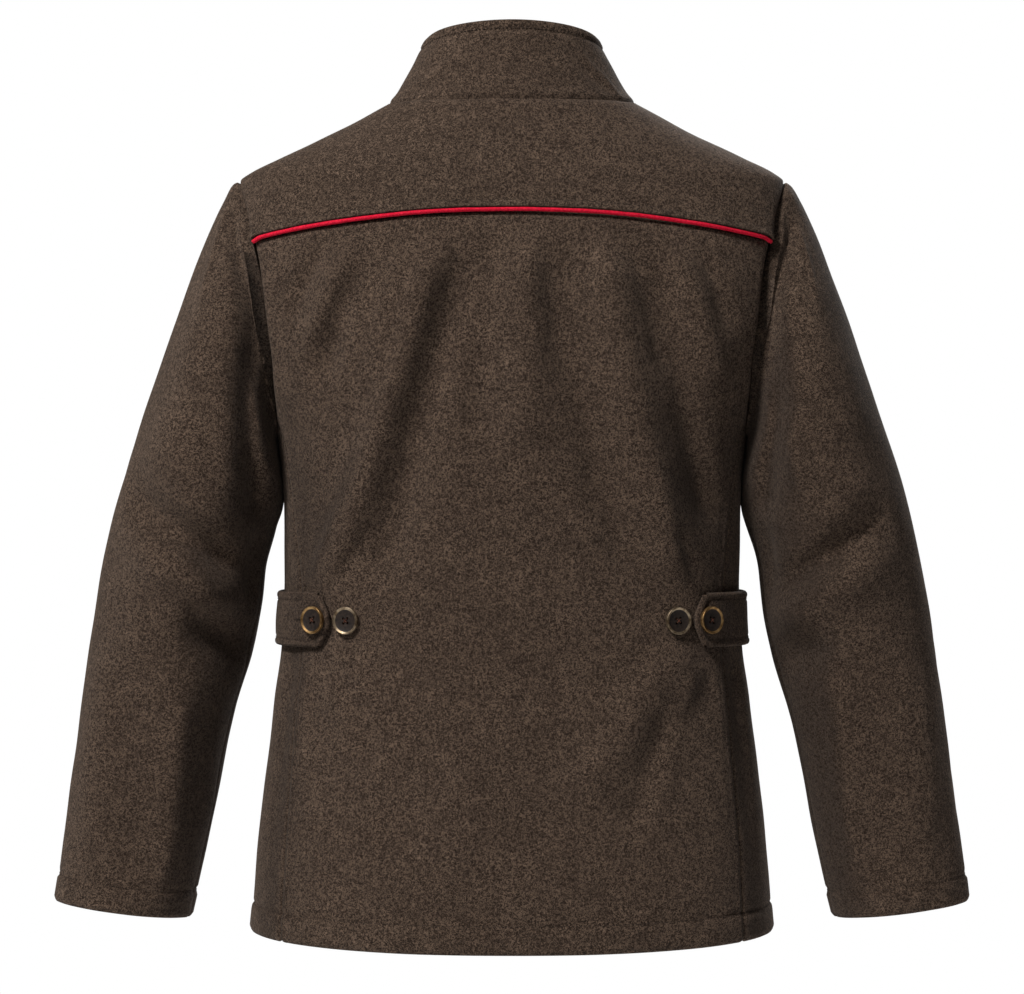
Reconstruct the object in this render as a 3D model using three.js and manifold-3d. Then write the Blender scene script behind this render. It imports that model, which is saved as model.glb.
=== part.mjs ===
// Tyrolean loden jacket, worn form with nobody in it, seen best from behind.
// Millimetres, +Z up, the wearer faces -Y and the wearer's left is +X.
// The origin is the middle of the neck, level with the two neck ends of the shoulder seams.
import * as THREE from "three";
import { mergeVertices } from "three/addons/utils/BufferGeometryUtils.js";
import Module from "manifold-3d";

// ---- driving dimensions ----
const CLOTH = 2.2; // wall of the fulled loden
const SEAM_GAP = 0.3; // room between two cut pieces at a seam
const SHOULDER_Z = -66; // shoulder tip
const SHOULDER_X = 231;
const NECK_HALF = 105; // half width between the neck ends of the shoulder seams
const NECK_BACK_DROP = 3;
const NECK_FRONT_DROP = 56;
const ARMHOLE_MIDDLE_Z = -174;
const ARMHOLE_HALF_HEIGHT = 108;
const ARMHOLE_HALF_DEPTH = 68;
const HEM_SIDE_Z = -697;
const HEM_BACK_DROP = 6; // the hem dips at the centre back
const HEM_BACK_Y = 124; // where the hem's centre back lies
const PIPING_Z = -97.6; // yoke seam at the centre back
const PIPING_FALL = 20; // how far it falls at PIPING_REACH
const PIPING_REACH = 210;
const PIPING_RADIUS = 2;
const PIPING_SIDES = 8;
const PIPING_STATIONS = 24;
const PIPING_STEPS = 40;
const PIPING_SUNK = 0.6; // its axis below the cloth's face
const PIPING_INSET = 1.5; // each end stops this short of the armhole
const OVERLAP_X = 20; // each front passes the centre line by this much
const UNDERLAP = CLOTH + 0.5; // how far the right front lies inside the left one
const LAP_REACH = 30; // where past the overlap the right front starts to step in
const LAP_LENGTH = 26; // over which it does
const COLLAR_HEIGHT_BACK = 67;
const COLLAR_HEIGHT_SIDE = 60;
const COLLAR_HEIGHT_FRONT = 58;
const COLLAR_LEAN_SIDE = 30;
const COLLAR_LEAN_BACK = 14;
const COLLAR_LEAN_FRONT = 18;
const COLLAR_FRONT_GAP = 4;
const COLLAR_BOW = 0.85; // below 1 its lean comes early
const COLLAR_STEP = { angle: 0.005, up: 0.02 }; // reach used to find the collar's outward direction
const SLEEVE_STEP = { ring: 0.1, angle: 2 }; // the same on a sleeve
const SETTLE_RINGS = 3; // rings over which a sleeve passes from the armhole's curve to flat rings
const SLEEVE_START = 0.5; // room between the armhole line and the sleeve's first ring
const FIRST_RING = 0.12; // where the first ring's outward direction is taken
const SLEEVE_SEAM_ROOM = 0.5; // each side of a sleeve seam
const HANG = { lowest: -400, clear: 1.2, round: 4 }; // a sleeve lies this far off the body, above the lowest
const TAB = { middleZ: -435, halfHeight: 22.7, nose: 148.6, corner: 156.5, noseHalf: 5, root: -25 };
const TAB_ROWS = [-1, -0.8, -0.22, 0.22, 0.8, 1]; // shares of its half height
const TAB_COLUMNS = 9;
const TAB_WALL = 4.2;
const TAB_CLEAR = 1.4;
const BUTTON = { thick: 4, sides: 20, hole: 1.2, holeSides: 6, spread: 1.9 };
const BUTTON_CLEAR = 0.6;
const TAB_BUTTON_X = 160;
const BACK_BUTTON_X = 136;
const FRONT_BUTTONS = { top: -84, step: -94, count: 6 };

const LODEN = { color: 0x473a32, roughness: 0.95, metalness: 0 };
const PIPING = { color: 0xa8122a, roughness: 0.7, metalness: 0 };
const HORN = { color: 0x6a4f32, roughness: 0.4, metalness: 0.1 };

// ---- tables, one row for each level, ring or fold ----
// Torso: half width, depth of the back and of the front from the side plane, and how square the section is.
const TORSO = [
  { z: 0, half: 105, back: 72, front: 72, power: 2.0 },
  { z: -20, half: 142, back: 80, front: 77, power: 2.0 },
  { z: -46, half: 196, back: 90, front: 86, power: 2.1 },
  { z: -58, half: 221, back: 94, front: 90, power: 2.15 },
  { z: -66, half: 231, back: 97, front: 93, power: 2.2 },
  { z: -95, half: 238, back: 104, front: 102, power: 2.3 },
  { z: -121, half: 241, back: 109, front: 110, power: 2.4 },
  { z: -174, half: 237, back: 114, front: 119, power: 2.4 },
  { z: -230, half: 219, back: 114, front: 122, power: 2.4 },
  { z: -282, half: 199, back: 111, front: 122, power: 2.4 },
  { z: -340, half: 193.5, back: 106, front: 118, power: 2.35 },
  { z: -404, half: 193, back: 102, front: 114, power: 2.3 },
  { z: -455, half: 195, back: 102, front: 113, power: 2.3 },
  { z: -505, half: 201.5, back: 106, front: 115, power: 2.3 },
  { z: -575, half: 210, back: 113, front: 119, power: 2.3 },
  { z: -640, half: 217, back: 119, front: 123, power: 2.3 },
  { z: -705, half: 222.5, back: 124, front: 126, power: 2.3 },
];
// Side-back seam: how far behind the side plane it runs.
const SIDE_SEAM = [
  { z: -267, behind: 34 },
  { z: -282, behind: 36 },
  { z: -340, behind: 43 },
  { z: -404, behind: 50 },
  { z: -462, behind: 54 },
  { z: -505, behind: 57 },
  { z: -579, behind: 63 },
  { z: -656, behind: 69 },
  { z: -705, behind: 73 },
];
// Button section: radius and height, from the middle of the back round the rim to the middle of the well.
const BUTTON_SECTION = [
  [0, 0],
  [9.45, 0],
  [11.45, 1.4],
  [11.45, 3],
  [10.25, 4],
  [8.6, 3.6],
  [7.6, 2.5],
  [0, 2.5],
];
// Sleeve rings: the ring's outer and inner point as seen from behind, its half depth and its middle's y.
const SLEEVE = [
  { ring: 0, outerX: 231, outerZ: -66, innerX: 199, innerZ: -282, depth: 68, y: 0 },
  { ring: 1, outerX: 241, outerZ: -77, innerX: 198, innerZ: -289, depth: 71, y: 0 },
  { ring: 2, outerX: 256, outerZ: -106, innerX: 196, innerZ: -299, depth: 75, y: 0 },
  { ring: 3, outerX: 272, outerZ: -147, innerX: 193, innerZ: -311, depth: 79, y: 0 },
  { ring: 4, outerX: 290, outerZ: -197, innerX: 191, innerZ: -326, depth: 81, y: 1 },
  { ring: 5, outerX: 307, outerZ: -247, innerX: 194, innerZ: -343, depth: 80, y: 1 },
  { ring: 6, outerX: 325, outerZ: -302, innerX: 201, innerZ: -362, depth: 77, y: 0 },
  { ring: 7, outerX: 340, outerZ: -355, innerX: 209, innerZ: -391, depth: 73, y: -1 },
  { ring: 8, outerX: 350, outerZ: -403, innerX: 213, innerZ: -425, depth: 68, y: -3 },
  { ring: 9, outerX: 358, outerZ: -450, innerX: 221, innerZ: -466, depth: 62, y: -6 },
  { ring: 10, outerX: 365, outerZ: -496, innerX: 236, innerZ: -513, depth: 58, y: -9 },
  { ring: 11, outerX: 371.5, outerZ: -541, innerX: 246, innerZ: -558, depth: 54, y: -12 },
  { ring: 12, outerX: 378.5, outerZ: -588, innerX: 255, innerZ: -605, depth: 50, y: -16 },
  { ring: 13, outerX: 385, outerZ: -632, innerX: 265, innerZ: -649, depth: 46, y: -19 },
  { ring: 14, outerX: 391.5, outerZ: -676, innerX: 275, innerZ: -691, depth: 44, y: -22 },
];
const LAST_RING = SLEEVE.length - 1;
// Long folds of the body: where each starts, passes and ends, its half width and how far it stands out.
const BODY_FOLDS = [
  { side: 1, topX: 58, topZ: -112, midX: 101, midZ: -262, lowX: 158, lowZ: -420, width: 17, rise: 5.9 },
  { side: 1, topX: 34, topZ: -112, midX: 78, midZ: -280, lowX: 113, lowZ: -415, width: 20, rise: -5.2 },
  { side: 1, topX: 129, topZ: -112, midX: 146, midZ: -165, lowX: 176, lowZ: -230, width: 12, rise: 3.9 },
  { side: 1, topX: 124, topZ: -130, midX: 146, midZ: -194, lowX: 158, lowZ: -262, width: 12, rise: -3.9 },
  { side: 1, topX: -14, topZ: -106, midX: -13, midZ: -190, lowX: -7, lowZ: -310, width: 18, rise: 3.9 },
  { side: 1, topX: -40, topZ: -108, midX: -57, midZ: -260, lowX: -105, lowZ: -410, width: 17, rise: -4.5 },
  { side: 1, topX: -72, topZ: -112, midX: -105, midZ: -276, lowX: -145, lowZ: -420, width: 17, rise: 5.2 },
  { side: 1, topX: -115, topZ: -118, midX: -138, midZ: -235, lowX: -170, lowZ: -372, width: 14, rise: -4.5 },
  { side: 1, topX: -127, topZ: -114, midX: -160, midZ: -199, lowX: -176, lowZ: -262, width: 12, rise: 3.2 },
  { side: 1, topX: -150, topZ: -440, midX: -105, midZ: -505, lowX: -50, lowZ: -590, width: 22, rise: 3.9 },
  { side: 1, topX: 150, topZ: -445, midX: 125, midZ: -515, lowX: 96, lowZ: -590, width: 20, rise: 2.6 },
  { side: -1, topX: 66, topZ: -110, midX: 104, midZ: -240, lowX: 128, lowZ: -400, width: 20, rise: 5.2 },
  { side: -1, topX: 44, topZ: -120, midX: 70, midZ: -260, lowX: 92, lowZ: -420, width: 20, rise: -4.5 },
  { side: -1, topX: -72, topZ: -114, midX: -98, midZ: -250, lowX: -130, lowZ: -415, width: 20, rise: 4.5 },
  { side: -1, topX: -48, topZ: -120, midX: -74, midZ: -250, lowX: -98, lowZ: -400, width: 18, rise: -3.9 },
];
const FOLD_FADE = 45; // length over which a long fold dies away at either end
// Folds of a sleeve: each crosses it at an angle and a ring, with a slope, a spread and a half width.
const SLEEVE_FOLDS = [
  { ring: 2.6, angle: 112, slope: 0.03, spread: 40, width: 1, rise: -7 },
  { ring: 4.9, angle: 136, slope: 0.02, spread: 24, width: 0.7, rise: -6 },
  { ring: 6.95, angle: 95, slope: 0.004, spread: 50, width: 0.4, rise: -4 },
  { ring: 7.6, angle: 105, slope: 0.006, spread: 50, width: 0.42, rise: 3 },
  { ring: 8.5, angle: 142, slope: 0.01, spread: 26, width: 0.45, rise: -4 },
  { ring: 7.4, angle: 255, slope: 0.004, spread: 50, width: 0.45, rise: -4 },
];
// Angles round the armhole, 0 at the shoulder, 90 behind, 180 under the arm.
const PIPING_ANGLE = 59;
const PIPING_HALF_ANGLE = 1.4; // the slot that the piping lies in, above and below its angle
const SEAM_ANGLE = 150;
const SLEEVE_SEAMS = { behind: 170, before: 229 }; // sleeve seams, as angles round the armhole
const YOKE_ANGLES = [0, 15, 30, 44, PIPING_ANGLE - PIPING_HALF_ANGLE];
const BACK_ANGLES = [PIPING_ANGLE + PIPING_HALF_ANGLE, 78, 96, 114, 132, SEAM_ANGLE];
const UNDERARM_ANGLES = [SEAM_ANGLE, 170, 190, 210];
const FRONT_ANGLES = [210, 229, 248, 267, 286, 305, 324, 342, 360];
const ARMHOLE_ANGLES = [
  ...YOKE_ANGLES.slice(0, -1),
  PIPING_ANGLE,
  ...BACK_ANGLES.slice(1),
  ...UNDERARM_ANGLES.slice(1),
  ...FRONT_ANGLES.slice(1),
];
const NECK_STEPS = 6;
const SHOULDER_STEPS = 5;
const BACK_COLUMNS = 16;
const SKIRT_ROWS = 15;
const SLEEVE_ROWS = 20;
const COLLAR_ROWS = 3;

const radians = THREE.MathUtils.degToRad;
const mix = THREE.MathUtils.lerp;
const smooth = THREE.MathUtils.smoothstep;
const point = (x, y, z) => new THREE.Vector3(x, y, z);
const steps = (count) => Array.from({ length: count + 1 }, (_, i) => i / count);

// Smooth value of one column of a table, at a place along its key column.
function read(table, key, column, at) {
  const forward = table[table.length - 1][key] > table[0][key] ? 1 : -1;
  const place = at * forward;
  let i = 0;
  while (i < table.length - 2 && table[i + 1][key] * forward < place) i += 1;
  const slope = (j) => {
    const a = table[j];
    const b = table[j + 1];
    return (b[column] - a[column]) / (b[key] - a[key]);
  };
  const tangent = (j) => {
    if (j === 0) return slope(0);
    if (j === table.length - 1) return slope(j - 1);
    const before = slope(j - 1);
    const after = slope(j);
    return before * after <= 0 ? 0 : (2 * before * after) / (before + after);
  };
  const span = table[i + 1][key] - table[i][key];
  const t = THREE.MathUtils.clamp((at - table[i][key]) / span, 0, 1);
  const t2 = t * t;
  const t3 = t2 * t;
  return (
    table[i][column] * (2 * t3 - 3 * t2 + 1) +
    tangent(i) * span * (t3 - 2 * t2 + t) +
    table[i + 1][column] * (3 * t2 - 2 * t3) +
    tangent(i + 1) * span * (t3 - t2)
  );
}

// ---- the torso's form: a superellipse at each height ----
function sectionAt(z, facing) {
  return {
    half: read(TORSO, "z", "half", z),
    depth: read(TORSO, "z", facing > 0 ? "back" : "front", z),
    power: read(TORSO, "z", "power", z),
  };
}

// The form's y at a place on the back (facing 1) or the front (facing -1).
function torsoY(x, z, facing) {
  const { half, depth, power } = sectionAt(z, facing);
  const left = Math.max(0, 1 - Math.pow(Math.abs(x) / half, power));
  return facing * depth * Math.pow(left, 1 / power);
}

// The form's x on the wearer's left, at a distance behind or before the side plane.
function torsoX(y, z) {
  const { half, depth, power } = sectionAt(z, Math.sign(y) || 1);
  const left = Math.max(0, 1 - Math.pow(Math.abs(y) / depth, power));
  return half * Math.pow(left, 1 / power);
}

// Outward direction of the form at one of its points.
function torsoNormal(p) {
  const facing = p.y < 0 ? -1 : 1;
  const level = (z) => {
    const { half, depth, power } = sectionAt(z, facing);
    return Math.pow(Math.abs(p.x) / half, power) + Math.pow(Math.abs(p.y) / depth, power);
  };
  const { half, depth, power } = sectionAt(p.z, facing);
  const reach = 1;
  const up = Math.min(0, p.z + reach);
  const down = p.z - reach;
  return point(
    (Math.sign(p.x) * power * Math.pow(Math.abs(p.x) / half, power - 1)) / half,
    (Math.sign(p.y) * power * Math.pow(Math.abs(p.y) / depth, power - 1)) / depth,
    (level(up) - level(down)) / (up - down),
  ).normalize();
}

// How far the body's long folds stand out at a place.
function bodyFold(x, z, facing) {
  let rise = 0;
  for (const fold of BODY_FOLDS) {
    if (fold.side !== facing || z > fold.topZ || z < fold.lowZ) continue;
    const t = (z - fold.topZ) / (fold.lowZ - fold.topZ);
    const m = (fold.midZ - fold.topZ) / (fold.lowZ - fold.topZ);
    const bow = (fold.midX - mix(fold.topX, fold.lowX, m)) / (m * (1 - m));
    const line = mix(fold.topX, fold.lowX, t) + bow * t * (1 - t);
    const length = fold.topZ - fold.lowZ;
    const fade = smooth(t * length, 0, FOLD_FADE) * smooth((1 - t) * length, 0, FOLD_FADE);
    rise += fold.rise * fade * Math.exp(-Math.pow((x - line) / fold.width, 2));
  }
  return rise;
}

// A point of the finished cloth on the torso, with its outward direction, moved out by some distance.
function onTorso(p, out = 0) {
  const normal = torsoNormal(p);
  const facing = p.y < 0 ? -1 : 1;
  const rise = bodyFold(p.x, p.z, facing) + out;
  return { p: p.clone().addScaledVector(normal, rise), n: normal };
}

// ---- seam lines ----
function armholeZ(angle) {
  return ARMHOLE_MIDDLE_Z + ARMHOLE_HALF_HEIGHT * Math.cos(radians(angle));
}

function armholePoint(angle) {
  const z = armholeZ(angle);
  const y = ARMHOLE_HALF_DEPTH * Math.sin(radians(angle));
  return point(torsoX(y, z), y, z);
}

function pipingZ(x) {
  return PIPING_Z - PIPING_FALL * Math.pow(Math.abs(x) / PIPING_REACH, 2);
}

function hemZ(y) {
  return HEM_SIDE_Z - HEM_BACK_DROP * Math.pow(Math.max(0, y) / HEM_BACK_Y, 2);
}

// The neckline, from the centre back (0 degrees) past the side neck (90) to the centre front (180).
function neckPoint(degrees) {
  const turn = radians(degrees);
  const x = NECK_HALF * Math.sin(turn);
  const facing = degrees <= 90 ? 1 : -1;
  const drop = facing > 0 ? NECK_BACK_DROP : NECK_FRONT_DROP;
  const z = -drop * Math.pow(Math.cos(turn), 2);
  return point(x, degrees === 90 ? 0 : torsoY(x, z, facing), z);
}

// The yoke's or a front's top edge: the neckline, then the shoulder seam out to its tip.
function topEdge(facing) {
  const neck = steps(NECK_STEPS).map((t) => neckPoint(facing > 0 ? 90 * t : 180 - 90 * t));
  const shoulder = steps(SHOULDER_STEPS)
    .slice(1)
    .map((t) => point(read(TORSO, "z", "half", SHOULDER_Z * t), 0, SHOULDER_Z * t));
  return [...neck, ...shoulder];
}

// ---- cloth from grids of points ----
// Each patch is rows of { p, n }. Patches that share an edge become one panel. The wall is laid inwards.
function clothGeometry(patches, wall) {
  const keys = new Map();
  const outer = [];
  const inner = [];
  const indexOf = ({ p, n }) => {
    const key = [p.x, p.y, p.z].map((v) => v.toFixed(2)).join(" ");
    if (!keys.has(key)) {
      keys.set(key, outer.length);
      outer.push(p);
      inner.push(p.clone().addScaledVector(n, -wall));
    }
    return keys.get(key);
  };
  const faces = [];
  const addFace = (a, b, c, n) => {
    if (a === b || b === c || c === a) return;
    const ab = outer[b].clone().sub(outer[a]);
    const ac = outer[c].clone().sub(outer[a]);
    faces.push(ab.cross(ac).dot(n) > 0 ? [a, b, c] : [a, c, b]);
  };
  for (const patch of patches) {
    for (let r = 0; r + 1 < patch.length; r += 1) {
      for (let c = 0; c + 1 < patch[r].length; c += 1) {
        const corners = [patch[r][c], patch[r][c + 1], patch[r + 1][c + 1], patch[r + 1][c]];
        const [a, b, d, e] = corners.map(indexOf);
        const n = corners.reduce((sum, corner) => sum.add(corner.n), point(0, 0, 0));
        addFace(a, b, d, n);
        addFace(a, d, e, n);
      }
    }
  }
  const count = outer.length;
  const edges = new Set();
  for (const [a, b, c] of faces) {
    edges.add(a + " " + b).add(b + " " + c).add(c + " " + a);
  }
  const all = [...faces, ...faces.map(([a, b, c]) => [a + count, c + count, b + count])];
  for (const edge of edges) {
    const [a, b] = edge.split(" ").map(Number);
    if (edges.has(b + " " + a)) continue;
    all.push([b, a, a + count], [b, a + count, b + count]);
  }
  const geometry = new THREE.BufferGeometry();
  geometry.setFromPoints([...outer, ...inner]);
  geometry.setIndex(all.flat());
  geometry.computeVertexNormals();
  return geometry;
}

// Moves a patch's outermost column or row in from the seam, by half the seam's gap unless told otherwise.
function trim(patch, edges, half = SEAM_GAP / 2) {
  const pull = (node, towards) => {
    const way = towards.p.clone().sub(node.p).normalize();
    return { p: node.p.clone().addScaledVector(way, half), n: node.n };
  };
  const rows = patch.map((row) => [...row]);
  const last = rows.length - 1;
  if (edges.top) rows[0] = rows[0].map((node, c) => pull(node, patch[1][c]));
  if (edges.bottom) rows[last] = rows[last].map((node, c) => pull(node, patch[last - 1][c]));
  return rows.map((row) => {
    const end = row.length - 1;
    const first = edges.left ? pull(row[0], row[1]) : row[0];
    const final = edges.right ? pull(row[end], row[end - 1]) : row[end];
    return [first, ...row.slice(1, end), final];
  });
}

const mirrored = (node) => ({
  p: point(-node.p.x, node.p.y, node.p.z),
  n: point(-node.n.x, node.n.y, node.n.z),
});

// ---- the panels ----
function yokePatch(side) {
  const top = topEdge(1);
  const endZ = armholeZ(YOKE_ANGLES[YOKE_ANGLES.length - 1]);
  return YOKE_ANGLES.map((angle) => {
    const edge = armholePoint(angle);
    const t = (edge.z - SHOULDER_Z) / (endZ - SHOULDER_Z);
    return top.map((start, c) => {
      const share = start.x / SHOULDER_X;
      const x = share * edge.x;
      const last = c === top.length - 1;
      const low = pipingZ(share * armholePoint(PIPING_ANGLE).x) + PIPING_RADIUS + SEAM_GAP;
      const z = last ? edge.z : mix(start.z, low, t);
      const onRidge = angle === 0 && start.y === 0;
      const y = onRidge ? 0 : last ? edge.y : torsoY(x, z, 1);
      return onTorso(point(side * x, y, z));
    });
  });
}

function seamY(z) {
  return read(SIDE_SEAM, "z", "behind", z);
}

// The back's side edge: down the armhole to the side-back seam, then down that seam to the hem.
function backEdge() {
  const armhole = BACK_ANGLES.map(armholePoint);
  const top = armhole[armhole.length - 1];
  const seam = steps(SKIRT_ROWS)
    .slice(1)
    .map((t) => {
      const z = mix(top.z, hemZ(seamY(HEM_SIDE_Z)), t);
      const y = seamY(z);
      return point(torsoX(y, z), y, z);
    });
  return [...armhole, ...seam];
}

function backPatch() {
  const edge = backEdge();
  const columns = steps(BACK_COLUMNS).map((t) => 2 * t - 1);
  const top = edge[0];
  const low = edge[edge.length - 1];
  return edge.map((end) =>
    columns.map((across) => {
      const x = across * end.x;
      const t = (end.z - top.z) / (low.z - top.z);
      const start = pipingZ(across * top.x) - PIPING_RADIUS - SEAM_GAP;
      const hem = hemZ(torsoY(across * low.x, low.z, 1));
      const atEdge = Math.abs(across) === 1;
      const z = atEdge && end !== top ? end.z : mix(start, hem, t);
      return onTorso(point(x, torsoY(x, z, 1), z));
    }),
  );
}

// Angle round a section, 0 at the centre back, 90 at the side and 180 at the centre front.
function sectionPoint(degrees, z) {
  const turn = radians(degrees);
  const { half, depth, power } = sectionAt(z, Math.cos(turn));
  const bend = (v) => Math.sign(v) * Math.pow(Math.abs(v), 2 / power);
  return point(half * bend(Math.sin(turn)), depth * bend(Math.cos(turn)), z);
}

function sectionAngle(p) {
  const { half, depth, power } = sectionAt(p.z, Math.sign(p.y) || 1);
  const bend = (v) => Math.sign(v) * Math.pow(Math.abs(v), power / 2);
  const turn = Math.atan2(bend(p.x / half), bend(p.y / depth));
  return THREE.MathUtils.radToDeg(turn < -Math.PI / 2 ? turn + 2 * Math.PI : turn);
}

// The wearer's left front as an upper patch, chest to shoulder, and a lower one round to the side-back seam.
function frontPatches(inside) {
  const lap = (p) => inside * smooth(OVERLAP_X + LAP_REACH - p.x, 0, LAP_LENGTH) * (p.y < 0 ? 1 : 0);
  const place = (p) => onTorso(p, -lap(p));
  const neckAndShoulder = topEdge(-1);
  const overlap = neckAndShoulder[0].clone();
  overlap.x = -OVERLAP_X;
  overlap.y = torsoY(overlap.x, overlap.z, -1);
  const top = [overlap, ...neckAndShoulder];
  const chest = armholePoint(FRONT_ANGLES[0]);
  const upper = FRONT_ANGLES.map((angle) => {
    const edge = armholePoint(angle);
    const t = (edge.z - chest.z) / (SHOULDER_Z - chest.z);
    return top.map((start, c) => {
      const share = (start.x + OVERLAP_X) / (SHOULDER_X + OVERLAP_X);
      const x = mix(-OVERLAP_X, edge.x, share);
      const last = c === top.length - 1;
      const z = last ? edge.z : mix(chest.z, start.z, t);
      const onRidge = angle === 360 && start.y === 0;
      return point(x, onRidge ? 0 : last ? edge.y : torsoY(x, z, -1), z);
    });
  });
  const underarm = UNDERARM_ANGLES.map(armholePoint);
  const waistline = [...underarm.slice(0, -1), ...[...upper[0]].reverse()];
  const seam = backEdge().slice(BACK_ANGLES.length - 1);
  const frontAngle = (z) => sectionAngle(point(-OVERLAP_X, torsoY(OVERLAP_X, z, -1), z));
  const seamAngle = (z) => sectionAngle(point(torsoX(seamY(z), z), seamY(z), z));
  const across = (share, z) => sectionPoint(mix(seamAngle(z), frontAngle(z), share), z);
  const lower = seam.map((end, r) =>
    waistline.map((start, c) => {
      if (r === 0) return start;
      if (c === 0) return end;
      const from = seamAngle(start.z);
      const share = (sectionAngle(start) - from) / (frontAngle(start.z) - from);
      const hem = hemZ(across(share, HEM_SIDE_Z).y);
      return across(share, mix(start.z, hem, r / (seam.length - 1)));
    }),
  );
  return [upper, lower].map((patch) => patch.map((row) => row.map(place)));
}

// ---- the collar: a stand round the neckline, open at the centre front ----
function collarPoint(degrees, up) {
  const turn = radians(Math.abs(degrees));
  const base = neckPoint(Math.abs(degrees));
  const side = Math.abs(Math.sin(turn));
  const along = Math.cos(turn);
  const lean = mix(along > 0 ? COLLAR_LEAN_BACK : COLLAR_LEAN_FRONT, COLLAR_LEAN_SIDE, side * side);
  const inwards = lean * Math.pow(up, COLLAR_BOW);
  const out = point(Math.sin(turn), Math.cos(turn), 0);
  const endHeight = along > 0 ? COLLAR_HEIGHT_BACK : COLLAR_HEIGHT_FRONT;
  const height = mix(endHeight, COLLAR_HEIGHT_SIDE, side * side);
  const rise = Math.sqrt(height * height - lean * lean) * up + 2 * SEAM_GAP;
  const p = base.addScaledVector(out, -inwards);
  p.z += rise;
  p.x *= Math.sign(degrees) || 1;
  return p;
}

function withNormals(surface, u, v, stepU, stepV, outwards) {
  const p = surface(u, v);
  const alongU = surface(u + stepU, v).sub(surface(u - stepU, v));
  const alongV = surface(u, v + stepV).sub(surface(u, v - stepV));
  const n = alongU.cross(alongV).normalize();
  return { p, n: n.dot(outwards) < 0 ? n.negate() : n };
}

function collarPatch() {
  const half = steps(NECK_STEPS).map((t) => 90 * t);
  const front = Math.asin(COLLAR_FRONT_GAP / 2 / NECK_HALF);
  const last = 180 - THREE.MathUtils.radToDeg(front);
  const left = [...half, ...half.slice(1).map((a) => Math.min(90 + a, last))];
  const angles = [...left.slice(1).reverse().map((a) => -a), ...left];
  return steps(COLLAR_ROWS).map((up) =>
    angles.map((angle) => {
      const outwards = point(Math.sin(radians(angle)), Math.cos(radians(angle)), 0);
      const at = THREE.MathUtils.clamp(up, COLLAR_STEP.up, 1 - COLLAR_STEP.up);
      const beside = angle || 2 * COLLAR_STEP.angle;
      const { n } = withNormals(collarPoint, beside, at, COLLAR_STEP.angle, COLLAR_STEP.up, outwards);
      return { p: collarPoint(angle, up), n };
    }),
  );
}

// ---- the sleeves: a wide top piece and a narrow one under the arm, from the armhole to the cuff ----
function sleeveRise(ring, degrees) {
  return SLEEVE_FOLDS.reduce((sum, fold) => {
    const away = degrees - fold.angle;
    const line = fold.ring + fold.slope * away;
    const across = (ring - line) / fold.width;
    return sum + fold.rise * Math.exp(-across * across - Math.pow(away / fold.spread, 2));
  }, 0);
}

function sleevePoint(ring, degrees) {
  const turn = radians(degrees);
  const at = (column) => read(SLEEVE, "ring", column, ring);
  const along = Math.cos(turn);
  const rise = sleeveRise(ring, degrees);
  const halfX = (at("outerX") - at("innerX")) / 2;
  const halfZ = (at("outerZ") - at("innerZ")) / 2;
  const size = Math.hypot(halfX, halfZ);
  const grow = 1 + rise / size;
  const x = (at("outerX") + at("innerX")) / 2 + halfX * along * grow;
  const z = (at("outerZ") + at("innerZ")) / 2 + halfZ * along * grow;
  const y = at("y") + (at("depth") + rise) * Math.sin(turn);
  // The tube starts on the curve of the armhole, which isn't a flat ring.
  const seam = armholePoint(degrees);
  const flatX = mix(SLEEVE[0].innerX, SLEEVE[0].outerX, (along + 1) / 2);
  const settle = 1 - smooth(ring, 0, SETTLE_RINGS);
  const start = x + (seam.x - flatX) * settle;
  // Where it hangs against the body it lies along it, just clear.
  if (ring < SLEEVE_STEP.ring / 10) return point(start, y, z);
  const body = z > HANG.lowest ? torsoX(y, z) + HANG.clear : 0;
  const gap = start - body;
  const clear = Math.sqrt(gap * gap + HANG.round) - Math.abs(gap);
  return point(Math.max(start, body) + clear / 2, y, z);
}

function sleevePatch(angles) {
  const rings = steps(SLEEVE_ROWS).map((t) => LAST_RING * t);
  const patch = rings.map((ring, r) =>
    angles.map((angle) => {
      const middle = sleevePoint(ring, 0).add(sleevePoint(ring, 180)).multiplyScalar(0.5);
      const outwards = sleevePoint(ring, angle).sub(middle);
      const at = Math.max(ring, FIRST_RING);
      const node = withNormals(sleevePoint, at, angle, SLEEVE_STEP.ring, SLEEVE_STEP.angle, outwards);
      if (r > 0) return { p: sleevePoint(ring, angle), n: node.n };
      const start = armholePoint(angle);
      const onwards = sleevePoint(SLEEVE_START, angle).sub(start).normalize();
      const shared = Math.max(0, Math.cos(radians(angle)));
      const n = node.n.lerp(torsoNormal(start), shared).normalize();
      return { p: start.addScaledVector(onwards, SLEEVE_START), n };
    }),
  );
  return trim(patch, { left: true, right: true }, SLEEVE_SEAM_ROOM);
}

// ---- tabs at the back waist ----
function tabPatch() {
  const columns = steps(TAB_COLUMNS);
  const angleAt = (x, level) => sectionAngle(point(x, torsoY(x, level, 1), level));
  return TAB_ROWS.map((row) => {
    const level = TAB.middleZ + row * TAB.halfHeight;
    const chamfer = THREE.MathUtils.clamp(
      (Math.abs(row) * TAB.halfHeight - TAB.noseHalf) / (TAB.halfHeight - TAB.noseHalf),
      0,
      1,
    );
    const nose = angleAt(mix(TAB.nose, TAB.corner, chamfer), level);
    const root = sectionAngle(point(torsoX(TAB.root, level), TAB.root, level));
    return columns.map((t) => onTorso(sectionPoint(mix(nose, root, t), level), TAB_CLEAR + TAB_WALL));
  });
}

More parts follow.
